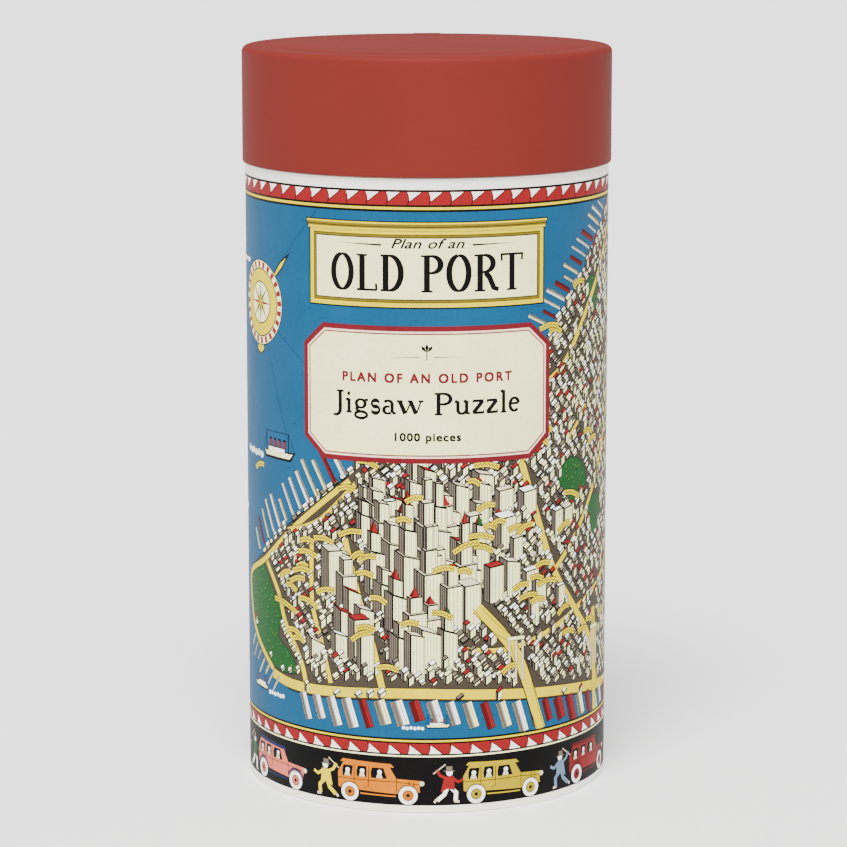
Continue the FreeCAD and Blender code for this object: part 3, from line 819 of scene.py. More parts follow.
def car(sheet, u, paint, trim):
    """A closed motor car of the early days, seen from its side, running to the right."""
    def fill(ink, lift, *points):
        placed = [(u + p[0], p[1]) for p in points]
        for triangle in triangles(placed):
            lay(sheet, ink, sheet.level + lift, triangle)

    u -= 2.1
    fill(paint, 0, (-13.2, 7.6), (8.6, 6.6), (17.0, 7.6), (17.4, 11.6), (8.8, 12.2), (6.2, 16.6),
         (-11.0, 17.2), (-13.4, 13.0))
    fill(trim, 1, (-12.4, 17.0), (-11.4, 18.1), (6.8, 17.5), (8.0, 16.3), (6.3, 16.2), (-11.0, 16.8))
    for left, low, right, high, lean in ((-11.4, 11.8, -8.0, 15.8, 0.6), (-5.8, 12.0, -2.2, 16.0, 0.0),
                                         (-0.4, 12.0, 5.4, 15.8, -1.3)):
        fill("black", 2, (left, low), (right, low), (right + lean, high), (left + 0.3, high),
             (left - 0.2, low + 2))
        middle = (left + right) / 2
        lay(sheet, "white", sheet.level + 3, ring_points(u + middle + 0.2, low + 2.3, 0.85, 10))
        fill("light", 3, (middle - 1.1, low + 0.1), (middle + 1.3, low + 0.1), (middle + 0.8, low + 1.6),
             (middle - 0.6, low + 1.6))
    for line in ([(-6.9, 16.4), (-6.9, 9.0), (-7.8, 8.4)], [(-1.3, 16.2), (-1.5, 8.6), (-3.0, 8.2)],
                 [(-13.4, 11.0), (8.8, 11.0), (17.2, 10.2)], [(8.9, 12.2), (8.9, 7.2)],
                 [(13.2, 8.0), (13.4, 11.6)], [(14.8, 8.0), (15.0, 11.5)]):
        lay_line(sheet, "black", sheet.level + 2, [(u + p[0], p[1]) for p in line], 0.22)
    for side in (-8.6, 13.0):
        hub = (u + side, WHEEL_HEIGHT)
        lay_line(sheet, trim, sheet.level + 1, bow(u + side, 6.4, 4.2, 4.0, 15, 165, 10), 0.7)
        for ink, radius, lift in (("black", 3.75, 2), ("white", 3.4, 3), ("black", 2.0, 4), (paint, 1.7, 5),
                                  ("black", 0.6, 6)):
            lay(sheet, ink, sheet.level + lift, ring_points(*hub, radius, 24))
        for number in range(8):
            lay_line(sheet, "black", sheet.level + 6, [hub, moved(hub, turned(1.6, 45 * number))], 0.16)
    lay_line(sheet, trim, sheet.level + 1, [(u - 4.6, 6.0), (u + 8.6, 5.7)], 0.5)
    lay(sheet, "light", sheet.level + 1, ring_points(u + 17.9, 10.6, 0.9, 12))


def walker(sheet, u, coat, legs, way):
    """A striding figure in a hat, with a plain round head and a cane."""
    def limb(ink, width, *points):
        lay_line(sheet, ink, sheet.level + 1, [(u + way * p[0], p[1]) for p in points], width)

    limb(legs, 1.5, (-0.6, 9.2), (-1.6, 6.6), (-4.2, 4.4))
    limb(legs, 1.5, (0.6, 9.2), (2.6, 7.2), (2.4, 4.2))
    limb("light", 0.8, (-4.6, 4.6), (-5.2, 3.6))
    limb("light", 0.8, (2.0, 4.0), (3.8, 3.8))
    limb(coat, 1.1, (1.2, 12.6), (3.4, 11.0), (5.2, 12.0))
    limb(coat, 1.1, (-1.2, 12.6), (-3.2, 13.6), (-4.4, 15.8))
    limb("light", 0.35, (-5.6, 14.2), (-1.2, 17.6))
    body = [(u + way * p[0], p[1]) for p in ((-1.7, 13.2), (-2.9, 7.4), (-0.6, 8.6), (0.8, 8.4), (2.2, 7.8),
                                             (1.8, 13.2))]
    for triangle in triangles(body):
        lay(sheet, coat, sheet.level + 2, triangle)
    lay(sheet, "white", sheet.level + 2, ring_points(u + 0.2 * way, 14.5, 1.15, 14))
    crown, brim = rectangle(u - 1.0, 15.3, u + 1.2, 16.9), rectangle(u - 1.9, 15.0, u + 2.0, 15.35)
    for part in (crown, brim):
        lay(sheet, "grey", sheet.level + 3, part)


def draw_frieze(sheet):
    """Cars and walkers in turn round the foot of the tube."""
    cars = [("orange", "orange"), ("olive", "olive"), ("red", "dark_red"), ("pink", "navy")]
    walkers = [("red", "white"), ("steel", "steel"), ("green", "white"), ("yellow", "yellow")]
    count = 9
    pitch = GIRTH / count
    for number in range(-4, 5):
        u = -17.6 + number * pitch
        car(sheet, u, *cars[number % 4])
        coat, legs = walkers[number % 4]
        walker(sheet, u + pitch * 0.5 + 2.4, coat, legs, -1 if number % 2 else 1)


def framed(sheet, outline, layers):
    """Lay nested outlines: each (ink, distance in from the first) lies over the one before."""
    for number, (ink, distance) in enumerate(layers):
        lay(sheet, ink, sheet.level + number, inset(outline, distance) if distance else outline)


def draw_title(sheet, hands):
    """The framed panel with the map's title, under a small cornice."""
    framed(sheet, rectangle(-TITLE_HALF, TITLE_FOOT, TITLE_HALF, TITLE_TOP),
           [("black", 0), ("yellow", 0.45), ("black", 2.0), ("gold", 2.25), ("black", 2.9), ("cream", 3.25)])
    cornice = [(-CORNICE_HALF, 211.2), (-44.7, 207.4), (44.7, 207.4), (CORNICE_HALF, 211.2)]
    framed(sheet, cornice, [("black", 0), ("gold", 0.3)])
    lay(sheet, "yellow", sheet.level + 2, rectangle(-44.6, 207.9, 44.6, 208.7))
    lay(sheet, "yellow", sheet.level + 2, rectangle(-45.3, 210.2, 45.3, 210.8))
    lay(sheet, "black", sheet.level + 3, rectangle(-44.8, 209.2, 44.8, 209.4))
    letters = PrintedSheet(sheet.level + 6)
    drawn_words(letters, "OLD PORT", hands[0], 0, 186.9, 12.6, 1.3, (1.3, 1.6))
    set_words(letters, "Plan of an", 0, 201.9, 3.5, "black", 1.05, 0.1, 0.35, 25.5)
    for way in (-1, 1):
        rule = [(way * 16.0, 202.6), (way * 32.5, 203.3), (way * 16.0, 203.3)]
        lay(letters, "black", letters.level, facing(rule))
    return letters


def octagon(half, low, high, chamfer_u, chamfer_v):
    """The corners of a rectangle about u = 0 with its own corners cut off."""
    return [(chamfer_u - half, low), (half - chamfer_u, low), (half, low + chamfer_v),
            (half, high - chamfer_v), (half - chamfer_u, high), (chamfer_u - half, high),
            (-half, high - chamfer_v), (-half, low + chamfer_v)]


def draw_label(sheet, hands):
    """The cut-cornered label with the plain description of what is inside."""
    framed(sheet, octagon(LABEL_HALF, LABEL_FOOT, LABEL_TOP, *LABEL_CORNER),
           [("label_red", 0), ("blush", 1.8), ("label_red", 2.5), ("cream", 2.95)])
    letters = PrintedSheet(sheet.level + 4)
    for angle in (50, 90, 130):
        tip = moved((0, 165.4), turned(3.2, angle))
        side = turned(0.62, angle - 90)
        middle = between((0, 165.4), tip, 0.6)
        leaf = [(0, 165.4), moved(middle, side), tip, moved(middle, (-side[0], -side[1]))]
        lay(letters, "black", letters.level, leaf)
    lay(letters, "black", letters.level, rectangle(-0.2, 162.8, 0.2, 165.4))
    for way in (-1, 1):
        rule = [(way * 2.4, 163.6), (way * 13.5, 163.75), (way * 2.4, 163.9)]
        lay(letters, "black", letters.level, facing(rule))
    set_words(letters, "PLAN OF AN OLD PORT", 0, 154.8, 3.3, "label_red", 1.35, 0.26, 0.0, 61.0)
    drawn_words(letters, "Jigsaw Puzzle", hands[1], 0, 143.7, 7.4, 1.5, (1.9, 2.9))
    set_words(letters, "1000 pieces", 0, 134.2, 2.9, "black", 1.15, 0.2, 0.0, 23.0)
    return letters


# ---------------------------------------------------------------- plates round the tube

FACETS = 240
FACET_WIDTH = GIRTH / FACETS
FIRST_RISE = 0.03  # of the lowest level above the paper
LEVEL_STEP = 0.008


def bent_point(u, v, column, radius):
    """A flat point on the tube's facet of that column, and the way out from the axis there."""
    share = u / FACET_WIDTH - column
    ends = []
    for edge in (column, column + 1):
        angle = math.tau * edge / FACETS
        ends.append(Vector((math.sin(angle), -math.cos(angle), 0)) * radius)
    place = ends[0].lerp(ends[1], share) + Vector((0, 0, v))
    angle = math.tau * u / GIRTH
    return place * MM, Vector((math.sin(angle), -math.cos(angle), 0))


def bent_plate(name, shapes, radius):
    """One ink's shapes as a mesh bent round the tube, each on the level that it was drawn on."""
    places, faces, normals = [], [], []
    for level, points in shapes:
        us = [p[0] for p in points]
        for column in range(math.floor(min(us) / FACET_WIDTH), math.ceil(max(us) / FACET_WIDTH)):
            left, right = column * FACET_WIDTH, (column + 1) * FACET_WIDTH
            part = cut(points, (left, 1.0), (left, 0.0)) if min(us) < left else points
            part = cut(part, (right, 0.0), (right, 1.0)) if part and max(us) > right else part
            if len(part) < 3 or abs(signed_area(part)) < 2e-4:
                continue
            faces.append(range(len(places), len(places) + len(part)))
            for u, v in part:
                place, outward = bent_point(u, v, column, radius + FIRST_RISE + level * LEVEL_STEP)
                places.append(place)
                normals.append(outward)
    mesh = bpy.data.meshes.new(name)
    mesh.from_pydata(places, [], faces)
    mesh.shade_smooth()
    mesh.normals_split_custom_set_from_vertices(normals)
    piece = bpy.data.objects.new(name, mesh)
    bpy.context.collection.objects.link(piece)
    return piece


# ---------------------------------------------------------------- finishes


class Value:
    """A shader value that takes part in arithmetic."""

    def __init__(self, finish, socket):
        self.finish = finish
        self.socket = socket

    def maths(self, operation, first, second):
        return self.finish.node("ShaderNodeMath", {"operation": operation}, {0: first, 1: second})

    def __add__(self, other):
        return self.maths("ADD", self, other)

    def __radd__(self, other):
        return self.maths("ADD", other, self)

    def __sub__(self, other):
        return self.maths("SUBTRACT", self, other)

    def __rsub__(self, other):
        return self.maths("SUBTRACT", other, self)

    def __mul__(self, other):
        return self.maths("MULTIPLY", self, other)

    def __rmul__(self, other):
        return self.maths("MULTIPLY", other, self)


class Finish:
    """A material whose nodes are made in Python."""

    def __init__(self, name, **constants):
        self.material = bpy.data.materials.new(name)
        self.material.use_nodes = True
        self.tree = self.material.node_tree
        self.shader = self.tree.nodes["Principled BSDF"]
        for socket, value in constants.items():
            self.shader.inputs[socket.replace("_", " ")].default_value = value

    def node(self, kind, settings=None, inputs=None, output=0):
        """Add a node, set it up, feed its sockets with values or links, and return one of its outputs."""
        node = self.tree.nodes.new(kind)
        for name, value in (settings or {}).items():
            setattr(node, name, value)
        for name, value in (inputs or {}).items():
            if isinstance(value, Value):
                self.tree.links.new(value.socket, node.inputs[name])
            else:
                node.inputs[name].default_value = value
        return Value(self, node.outputs[output])

    def feed(self, socket, value):
        self.tree.links.new(value.socket, self.shader.inputs[socket])

    def object_place(self):
        return self.node("ShaderNodeTexCoord", output="Object")

    def noise(self, scale, detail=2.0, place=None, roughness=0.5):
        inputs = {"Vector": place or self.object_place(), "Scale": scale, "Detail": detail,
                  "Roughness": roughness}
        return self.node("ShaderNodeTexNoise", {}, inputs)

    def spread(self, value, low, high):
        """The value stretched so that low becomes 0 and high 1, and held there."""
        return self.node("ShaderNodeMapRange", {}, {"Value": value, "From Min": low, "From Max": high})

    def mix(self, share, first, second):
        inputs = {"Factor": share, 6: first, 7: second}
        return self.node("ShaderNodeMix", {"data_type": "RGBA"}, inputs, output=2)

    def bump(self, height, distance, strength=1.0):
        inputs = {"Height": height, "Distance": distance, "Strength": strength}
        self.feed("Normal", self.node("ShaderNodeBump", {}, inputs))


def tint(colour, share):
    """A colour made lighter above 1 or darker below it."""
    return tuple(min(1.0, channel * share) for channel in colour[:3]) + (1.0,)


def ink_finish(name, colour):
    """Printed ink: even, with the faint cloudiness and tooth of coated paper."""
    finish = Finish(name, Roughness=0.5, Specular_IOR_Level=0.06)
    cloud = finish.noise(60.0, 3.0)
    tooth = finish.noise(900.0, 2.0)
    shade = finish.spread(cloud * 0.6 + tooth * 0.4, 0.35, 0.65)
    finish.feed("Base Color", finish.mix(shade, tint(colour, 0.9), tint(colour, 1.06)))
    return finish.material


def paper_finish(name, colour, roughness=0.7, contrast=0.1, fibre=1400.0):
    """Uncoated paper: clouded colour, fine fibres and a soft tooth."""
    finish = Finish(name, Specular_IOR_Level=0.06)
    place = finish.object_place()
    cloud = finish.noise(28.0, 4.0, place)
    fibres = finish.noise(fibre, 3.0, place, 0.7)
    shade = finish.spread(cloud * 0.55 + fibres * 0.45, 0.34, 0.66)
    finish.feed("Base Color", finish.mix(shade, tint(colour, 1 - contrast), tint(colour, 1 + contrast * 0.6)))
    finish.feed("Roughness", roughness + (fibres - 0.5) * 0.14)
    finish.bump(fibres, 0.00006, 0.5)
    return finish.material


def board_finish(name, colour):
    """Grey board: recycled pulp with darker and lighter flecks."""
    finish = Finish(name, Specular_IOR_Level=0.2)
    place = finish.object_place()
    pulp = finish.noise(420.0, 5.0, place, 0.65)
    flecks = finish.spread(finish.noise(1900.0, 2.0, place), 0.62, 0.7)
    colour_of_pulp = finish.mix(finish.spread(pulp, 0.35, 0.65), tint(colour, 0.8), tint(colour, 1.15))
    finish.feed("Base Color", finish.mix(flecks * 0.6, colour_of_pulp, tint(colour, 0.45)))
    finish.feed("Roughness", 0.82 + (pulp - 0.5) * 0.2)
    finish.bump(pulp, 0.00012, 0.6)
    return finish.material


def put_on(piece, material):
    """Give a piece one finish all over."""
    piece.data.materials.clear()
    piece.data.materials.append(material)


# ---------------------------------------------------------------- modelling by hand


def start_piece(name):
    """Take the shape that was just added and call it by its piece's name."""
    piece = bpy.context.object
    piece.name = piece.data.name = name
    return piece


def nothing_selected():
    """Leave edit mode and deselect everything."""
    if bpy.context.object and bpy.context.object.mode != "OBJECT":
        bpy.ops.object.mode_set(mode="OBJECT")
    bpy.ops.object.select_all(action="DESELECT")


def ringed_shell(name, profile, count):
    """A shell of rings: a circle extruded from one (radius, height) of a profile to the next."""
    nothing_selected()
    radius, height = profile[0]
    bpy.ops.mesh.primitive_circle_add(vertices=count, radius=radius * MM, location=(0, 0, height * MM))
    piece = start_piece(name)
    bpy.ops.object.transform_apply(location=True, rotation=True, scale=True)
    bpy.ops.object.mode_set(mode="EDIT")
    bpy.ops.mesh.select_mode(type="EDGE")
    bpy.ops.mesh.select_all(action="SELECT")
    for (wide, low), (radius, height) in zip(profile, profile[1:]):
        step = {"value": (0, 0, (height - low) * MM)}
        bpy.ops.mesh.extrude_region_move(TRANSFORM_OT_translate=step)
        share = radius / wide
        bpy.ops.transform.resize(value=(share, share, 1), center_override=(0, 0, 0))
    bpy.ops.object.mode_set(mode="OBJECT")
    return piece


def edit_some(piece, kind, wanted):
    """Enter edit mode with only those corners (VERT) or faces (FACE) selected whose place is wanted."""
    nothing_selected()
    bpy.context.view_layer.objects.active = piece
    bpy.ops.object.mode_set(mode="EDIT")
    bpy.ops.mesh.select_mode(type=kind)
    bpy.ops.mesh.select_all(action="DESELECT")
    bpy.ops.object.mode_set(mode="OBJECT")
    if kind == "FACE":
        for face in piece.data.polygons:
            face.select = wanted(face.center)
    else:
        for corner in piece.data.vertices:
            corner.select = wanted(corner.co)
    bpy.ops.object.mode_set(mode="EDIT")


def normals_outwards(piece):
    """Merge a piece's doubles and make its faces point the same way."""
    nothing_selected()
    bpy.context.view_layer.objects.active = piece
    piece.select_set(True)
    bpy.ops.object.mode_set(mode="EDIT")
    bpy.ops.mesh.select_all(action="SELECT")
    bpy.ops.mesh.remove_doubles(threshold=1e-6)
    bpy.ops.mesh.normals_make_consistent(inside=False)
    bpy.ops.object.mode_set(mode="OBJECT")


def finished_with(piece, kind, **settings):
    """Give a piece one modifier and apply it."""
    nothing_selected()
    bpy.context.view_layer.objects.active = piece
    piece.select_set(True)
    modifier = piece.modifiers.new(kind.title(), kind)
    for name, value in settings.items():
        setattr(modifier, name, value)
    bpy.ops.object.modifier_apply(modifier=modifier.name)


def smooth_below(piece, angle):
    """Shade a piece smooth except across edges that turn by more than an angle in degrees."""
    nothing_selected()
    bpy.context.view_layer.objects.active = piece
    piece.select_set(True)
    bpy.ops.object.shade_smooth_by_angle(angle=math.radians(angle))


def arc(centre, radius, start, end, steps=6):
    """Points along a rounded corner of a profile, with its angles in degrees."""
    return bow(*centre, radius, radius, start, end, steps)


# ---------------------------------------------------------------- what can be changed


def ink_choice(name, red, green, blue, use):
    """A colour property, given in the usual 0 to 255 steps."""
    return bpy.props.FloatVectorProperty(name=name, description=use, subtype="COLOR", size=3, min=0, max=1,
                                         default=linear(red, green, blue))


def length_choice(name, millimetres, use):
    """A length property, given in millimetres."""
    return bpy.props.FloatProperty(name=name, description=use, subtype="DISTANCE", unit="LENGTH", min=0,
                                   default=millimetres * MM, precision=5)


class TubeInks(bpy.types.PropertyGroup):
    """Colours of the inks that the wrap is printed with."""

    black: ink_choice("Black", 10, 9, 9, "Lines, lettering and the ground of the frieze")
    white: ink_choice("White", 252, 250, 240, "Roofs, tyres and smoke")
    cream: ink_choice("Cream", 254, 246, 182, "Lit walls, and the paper of the two panels")
    light: ink_choice("Light grey", 216, 203, 172, "Upper tiers and pylons")
    grey: ink_choice("Warm grey", 104, 95, 83, "Walls in shade")
    dark: ink_choice("Dark grey", 56, 50, 45, "Windows in shade")
    stone: ink_choice("Stone", 62, 55, 45, "Open ground of the town")
    blue: ink_choice("Sea blue", 22, 77, 112, "Water")
    ink_blue: ink_choice("Line blue", 16, 48, 76, "Course lines on the water")
    yellow: ink_choice("Yellow", 218, 194, 2, "Roads, ribbons and frames")
    gold: ink_choice("Gold", 116, 100, 26, "Cornice and inner frame")
    green: ink_choice("Green", 24, 76, 34, "Parks")
    leaf: ink_choice("Leaf green", 58, 112, 40, "Tree tops")
    red: ink_choice("Red", 131, 27, 29, "Sheds, roofs and the toothed bands")
    dark_red: ink_choice("Dark red", 88, 14, 16, "Shaded sides of red roofs")
    label_red: ink_choice("Label red", 106, 25, 33, "Label borders and its lettering")
    blush: ink_choice("Blush", 244, 214, 190, "Gap between the label's borders")
    orange: ink_choice("Orange", 196, 110, 6, "Car paint")
    olive: ink_choice("Olive yellow", 172, 148, 8, "Car paint")
    pink: ink_choice("Pink", 212, 112, 90, "Car paint")
    navy: ink_choice("Navy", 30, 36, 74, "Car roofs and guards")
    steel: ink_choice("Steel blue", 104, 124, 148, "Coats")


class TubeMakings(bpy.types.PropertyGroup):
    """Colours and small sizes of the papers, boards and cloth."""

    lid_red: ink_choice("Lid red", 105, 36, 31, "Paper that wraps the lid")
    wrap_white: ink_choice("Wrap paper", 246, 244, 232, "Bare paper of the printed wrap")
    paper_white: ink_choice("Lining paper", 240, 238, 228, "Linings, neck cover and base paper")
    board_grey: ink_choice("Board grey", 150, 142, 130, "Grey board")
    cloth_cream: ink_choice("Cloth cream", 208, 190, 148, "Unbleached muslin")
    cord_cream: ink_choice("Cord cream", 232, 224, 204, "Cotton cord")
    piece_blue: ink_choice("Piece back", 96, 120, 138, "Backs and edges of the puzzle pieces")
    paper_thickness: length_choice("Paper thickness", 0.2, "Thickness of the lid's paper")
    lid_edge: length_choice("Lid edge radius", 2.2, "Rounding of the lid's upper edge")
    lip_radius: length_choice("Lid lip radius", 0.5, "Rounding where the paper turns in under the lid's rim")
    seam_width: length_choice("Seam width", 9.0, "Overlap of the lid's paper at the back")
    cloth_thickness: length_choice("Cloth thickness", 0.35, "Thickness of the bag's cloth")
    strand: length_choice("Strand thickness", 1.25, "Thickness of each strand of the tie cord")


class StageMakings(bpy.types.PropertyGroup):
    """The floor, the light and the camera."""

    floor: ink_choice("Floor", 250, 250, 250, "Plain pale floor")
    width: length_choice("Floor width", 60000.0, "Side of the square floor")
    key: bpy.props.FloatProperty(name="Key light", description="Strength of the high soft light",
                                 min=0, default=8.0)
    sky: bpy.props.FloatProperty(name="Surroundings", description="Strength of the even light all round",
                                 min=0, default=0.66)
    lens: bpy.props.FloatProperty(name="Lens", description="Focal length", subtype="DISTANCE_CAMERA",
                                  default=143.8)


# ---------------------------------------------------------------- the wrap and the boards


def wrap_sheets():
    """Every printed sheet of the wrap, from the bare sea to the lettering."""
    hands = letter_strokes()
    under = 0.2  # how far the map goes on below the panels' edges
    covered = [rectangle(-GIRTH, SEA_TOP + 0.1, GIRTH, 230.0), rectangle(-GIRTH, -5.0, GIRTH, SEA_FOOT),
               rectangle(under - TITLE_HALF, TITLE_FOOT + under, TITLE_HALF - under, 211.0),
               octagon(LABEL_HALF - under, LABEL_FOOT + under, LABEL_TOP - under, *LABEL_CORNER)]
    bands, map_sheet, frieze = (PrintedSheet(level) for level in (LOWEST_LEVEL, MAP_LEVEL, MAP_LEVEL))
    draw_bands(bands)
    map_sheet.draw([], covered)
    draw_map(map_sheet)
    draw_frieze(frieze)
    title, label, edge = (PrintedSheet(PANEL_LEVEL) for _ in range(3))
    sheets = [bands, map_sheet, frieze, title, label, draw_title(title, hands), draw_label(label, hands)]
    # The wrap's own overlap stands at the back: a strip of bare paper and the shadow along its edge.
    lay(edge, "cream", PANEL_LEVEL, rectangle(GIRTH / 2 - 0.3, PRINT_FOOT, GIRTH / 2, PRINT_TOP - 0.1))
    lay(edge, "grey", PANEL_LEVEL + 1, rectangle(GIRTH / 2, 0.2, GIRTH / 2 + 0.1, 226.0))
    return sheets + [edge]


class PrintedWrap(bpy.types.Operator):
    """Print the map, its borders and its two panels on the wrap's paper"""

    bl_idname = "puzzle_tube.printed_wrap"
    bl_label = "Printed wrap"

    def execute(self, context):
        inks = context.scene.tube_inks
        gathered = defaultdict(list)
        for sheet in wrap_sheets():
            for name, shapes in sheet.shapes.items():
                gathered[name] += shapes
        for name, shapes in sorted(gathered.items()):
            piece = bent_plate("print_" + name, shapes, WRAP_RADIUS / MM)
            put_on(piece, ink_finish("ink_" + name, getattr(inks, name)))
            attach(piece, "tube")
        white = context.scene.tube_makings.wrap_white
        put_on(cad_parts["map_wrap"], paper_finish("coated_paper", white, 0.45, 0.05))
        return {"FINISHED"}


class Boards(bpy.types.Operator):
    """Finish the grey boards, the linings and the neck's cover"""

    bl_idname = "puzzle_tube.boards"
    bl_label = "Boards and linings"

    def execute(self, context):
        makings = context.scene.tube_makings
        board = board_finish("grey_pulp_board", makings.board_grey)
        lining = paper_finish("lining_paper", makings.paper_white, 0.75, 0.07)
        for node in ("body_tube", "base_disc", "neck_tube", "lid_sleeve", "lid_top_disc"):
            put_on(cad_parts[node], board)
        for node in ("base_cover_paper", "neck_cover_paper", "floor_lining", "lid_side_lining",
                     "lid_top_lining"):
            put_on(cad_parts[node], lining)
        return {"FINISHED"}


class LidPapers(bpy.types.Operator):
    """Wrap the lid in its paper: the side with its rounded edges and overlap, and the round sheet on top"""

    bl_idname = "puzzle_tube.lid_papers"
    bl_label = "Lid papers"

    def execute(self, context):
        makings = context.scene.tube_makings
        paper = paper_finish("lid_paper", makings.lid_red, 0.62, 0.05, 1700.0)
        low, high = (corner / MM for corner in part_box("lid_side_paper"))
        reach, inner = max(high.xy), max(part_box("lid_top_paper")[1].xy) / MM
        edge, lip = makings.lid_edge / MM, makings.lip_radius / MM
        profile = [(reach - 1.9, low.z + 0.02), (reach - lip, low.z + 0.02)]
        profile += arc((reach - lip, low.z + lip), lip, -90, 0)[1:]
        profile += [(reach, low.z + (high.z - low.z) * share / 14) for share in range(1, 13)]
        profile += arc((reach - edge, high.z - edge), edge, 0, 90, 10)
        profile += [(reach - edge - (reach - edge - inner) * share / 3, high.z) for share in (1, 2, 3)]
        side = ringed_shell("lid_side_wrap", profile, 240)
        normals_outwards(side)
        self.raise_overlap(side, makings.seam_width / 2)
        finished_with(side, "SOLIDIFY", thickness=makings.paper_thickness, offset=-1.0)
        smooth_below(side, 35)
        top = ringed_shell("lid_top_sheet", [(inner - 0.05, high.z - 0.15), (inner - 0.05, high.z + 0.01),
                                             (inner - 0.12, high.z + 0.04), (inner * 0.75, high.z + 0.04),
                                             (inner * 0.4, high.z + 0.04), (inner * 0.1, high.z + 0.04)], 240)
        bpy.ops.object.mode_set(mode="EDIT")
        bpy.ops.mesh.edge_face_add()
        bpy.ops.object.mode_set(mode="OBJECT")
        normals_outwards(top)
        smooth_below(top, 35)
        for piece, node in ((side, "lid_side_paper"), (top, "lid_top_paper")):
            put_on(piece, paper)
            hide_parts(node)
            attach(piece, "lid")
        return {"FINISHED"}

    def raise_overlap(self, piece, half, rise=0.00012):
        """Raise a strip at the back by the thickness of a second layer."""
        edit_some(piece, "FACE", lambda centre: abs(centre.x) < half and centre.y > 0)
        bpy.ops.mesh.extrude_region_shrink_fatten(TRANSFORM_OT_shrink_fatten={"value": rise})
        bpy.ops.object.mode_set(mode="OBJECT")


# ---------------------------------------------------------------- the bag, the picture and the pieces


def folds(angle, height):
    """How far the gathered cloth lies in or out of its mean, from about -1 to 1."""
    waves = ((8, 0.4, 0.3), (13, 1.9, 0.42), (18, 4.1, 0.3), (27, 2.6, 0.16))
    drift = 0.06 * math.sin(height * 0.11)
    return sum(share * math.sin(count * (angle + drift) + start) for count, start, share in waves)


def cloth_finish(name, colour):
    """Muslin: a plain weave of uneven threads, with seed flecks."""
    finish = Finish(name, Specular_IOR_Level=0.15, Sheen_Weight=0.25, Sheen_Roughness=0.5)
    thread = finish.node("ShaderNodeUVMap", {"uv_map": "cloth"})
    across = finish.node("ShaderNodeTexWave", {"bands_direction": "X"},
                         {"Vector": thread, "Scale": 320.0, "Distortion": 1.2, "Detail": 1.0}, output=1)
    along = finish.node("ShaderNodeTexWave", {"bands_direction": "Y"},
                        {"Vector": thread, "Scale": 320.0, "Distortion": 1.2, "Detail": 1.0}, output=1)
    weave = (across + along) * 0.5
    cloud = finish.noise(35.0, 4.0)
    flecks = finish.spread(finish.noise(700.0, 1.0), 0.7, 0.74)
    shade = finish.spread(weave * 0.5 + cloud * 0.5, 0.25, 0.75)
    plain = finish.mix(shade, tint(colour, 0.72), tint(colour, 1.08))
    finish.feed("Base Color", finish.mix(flecks * 0.7, plain, tint(colour, 0.4)))
    finish.feed("Roughness", 0.9 - weave * 0.1)
    finish.bump(weave, 0.00018, 0.8)
    return finish.material


GATHER_FOOT, RUFFLE_FOOT = 140.0, 216.0  # heights on the bag where its folds and its ruffle's waves begin
HELD_BELOW, HELD_ABOVE = 6.0, 206.0
FILL_FOOT, FILL_TOP = 8.0, 174.0
SETTLING_FRAMES = 20


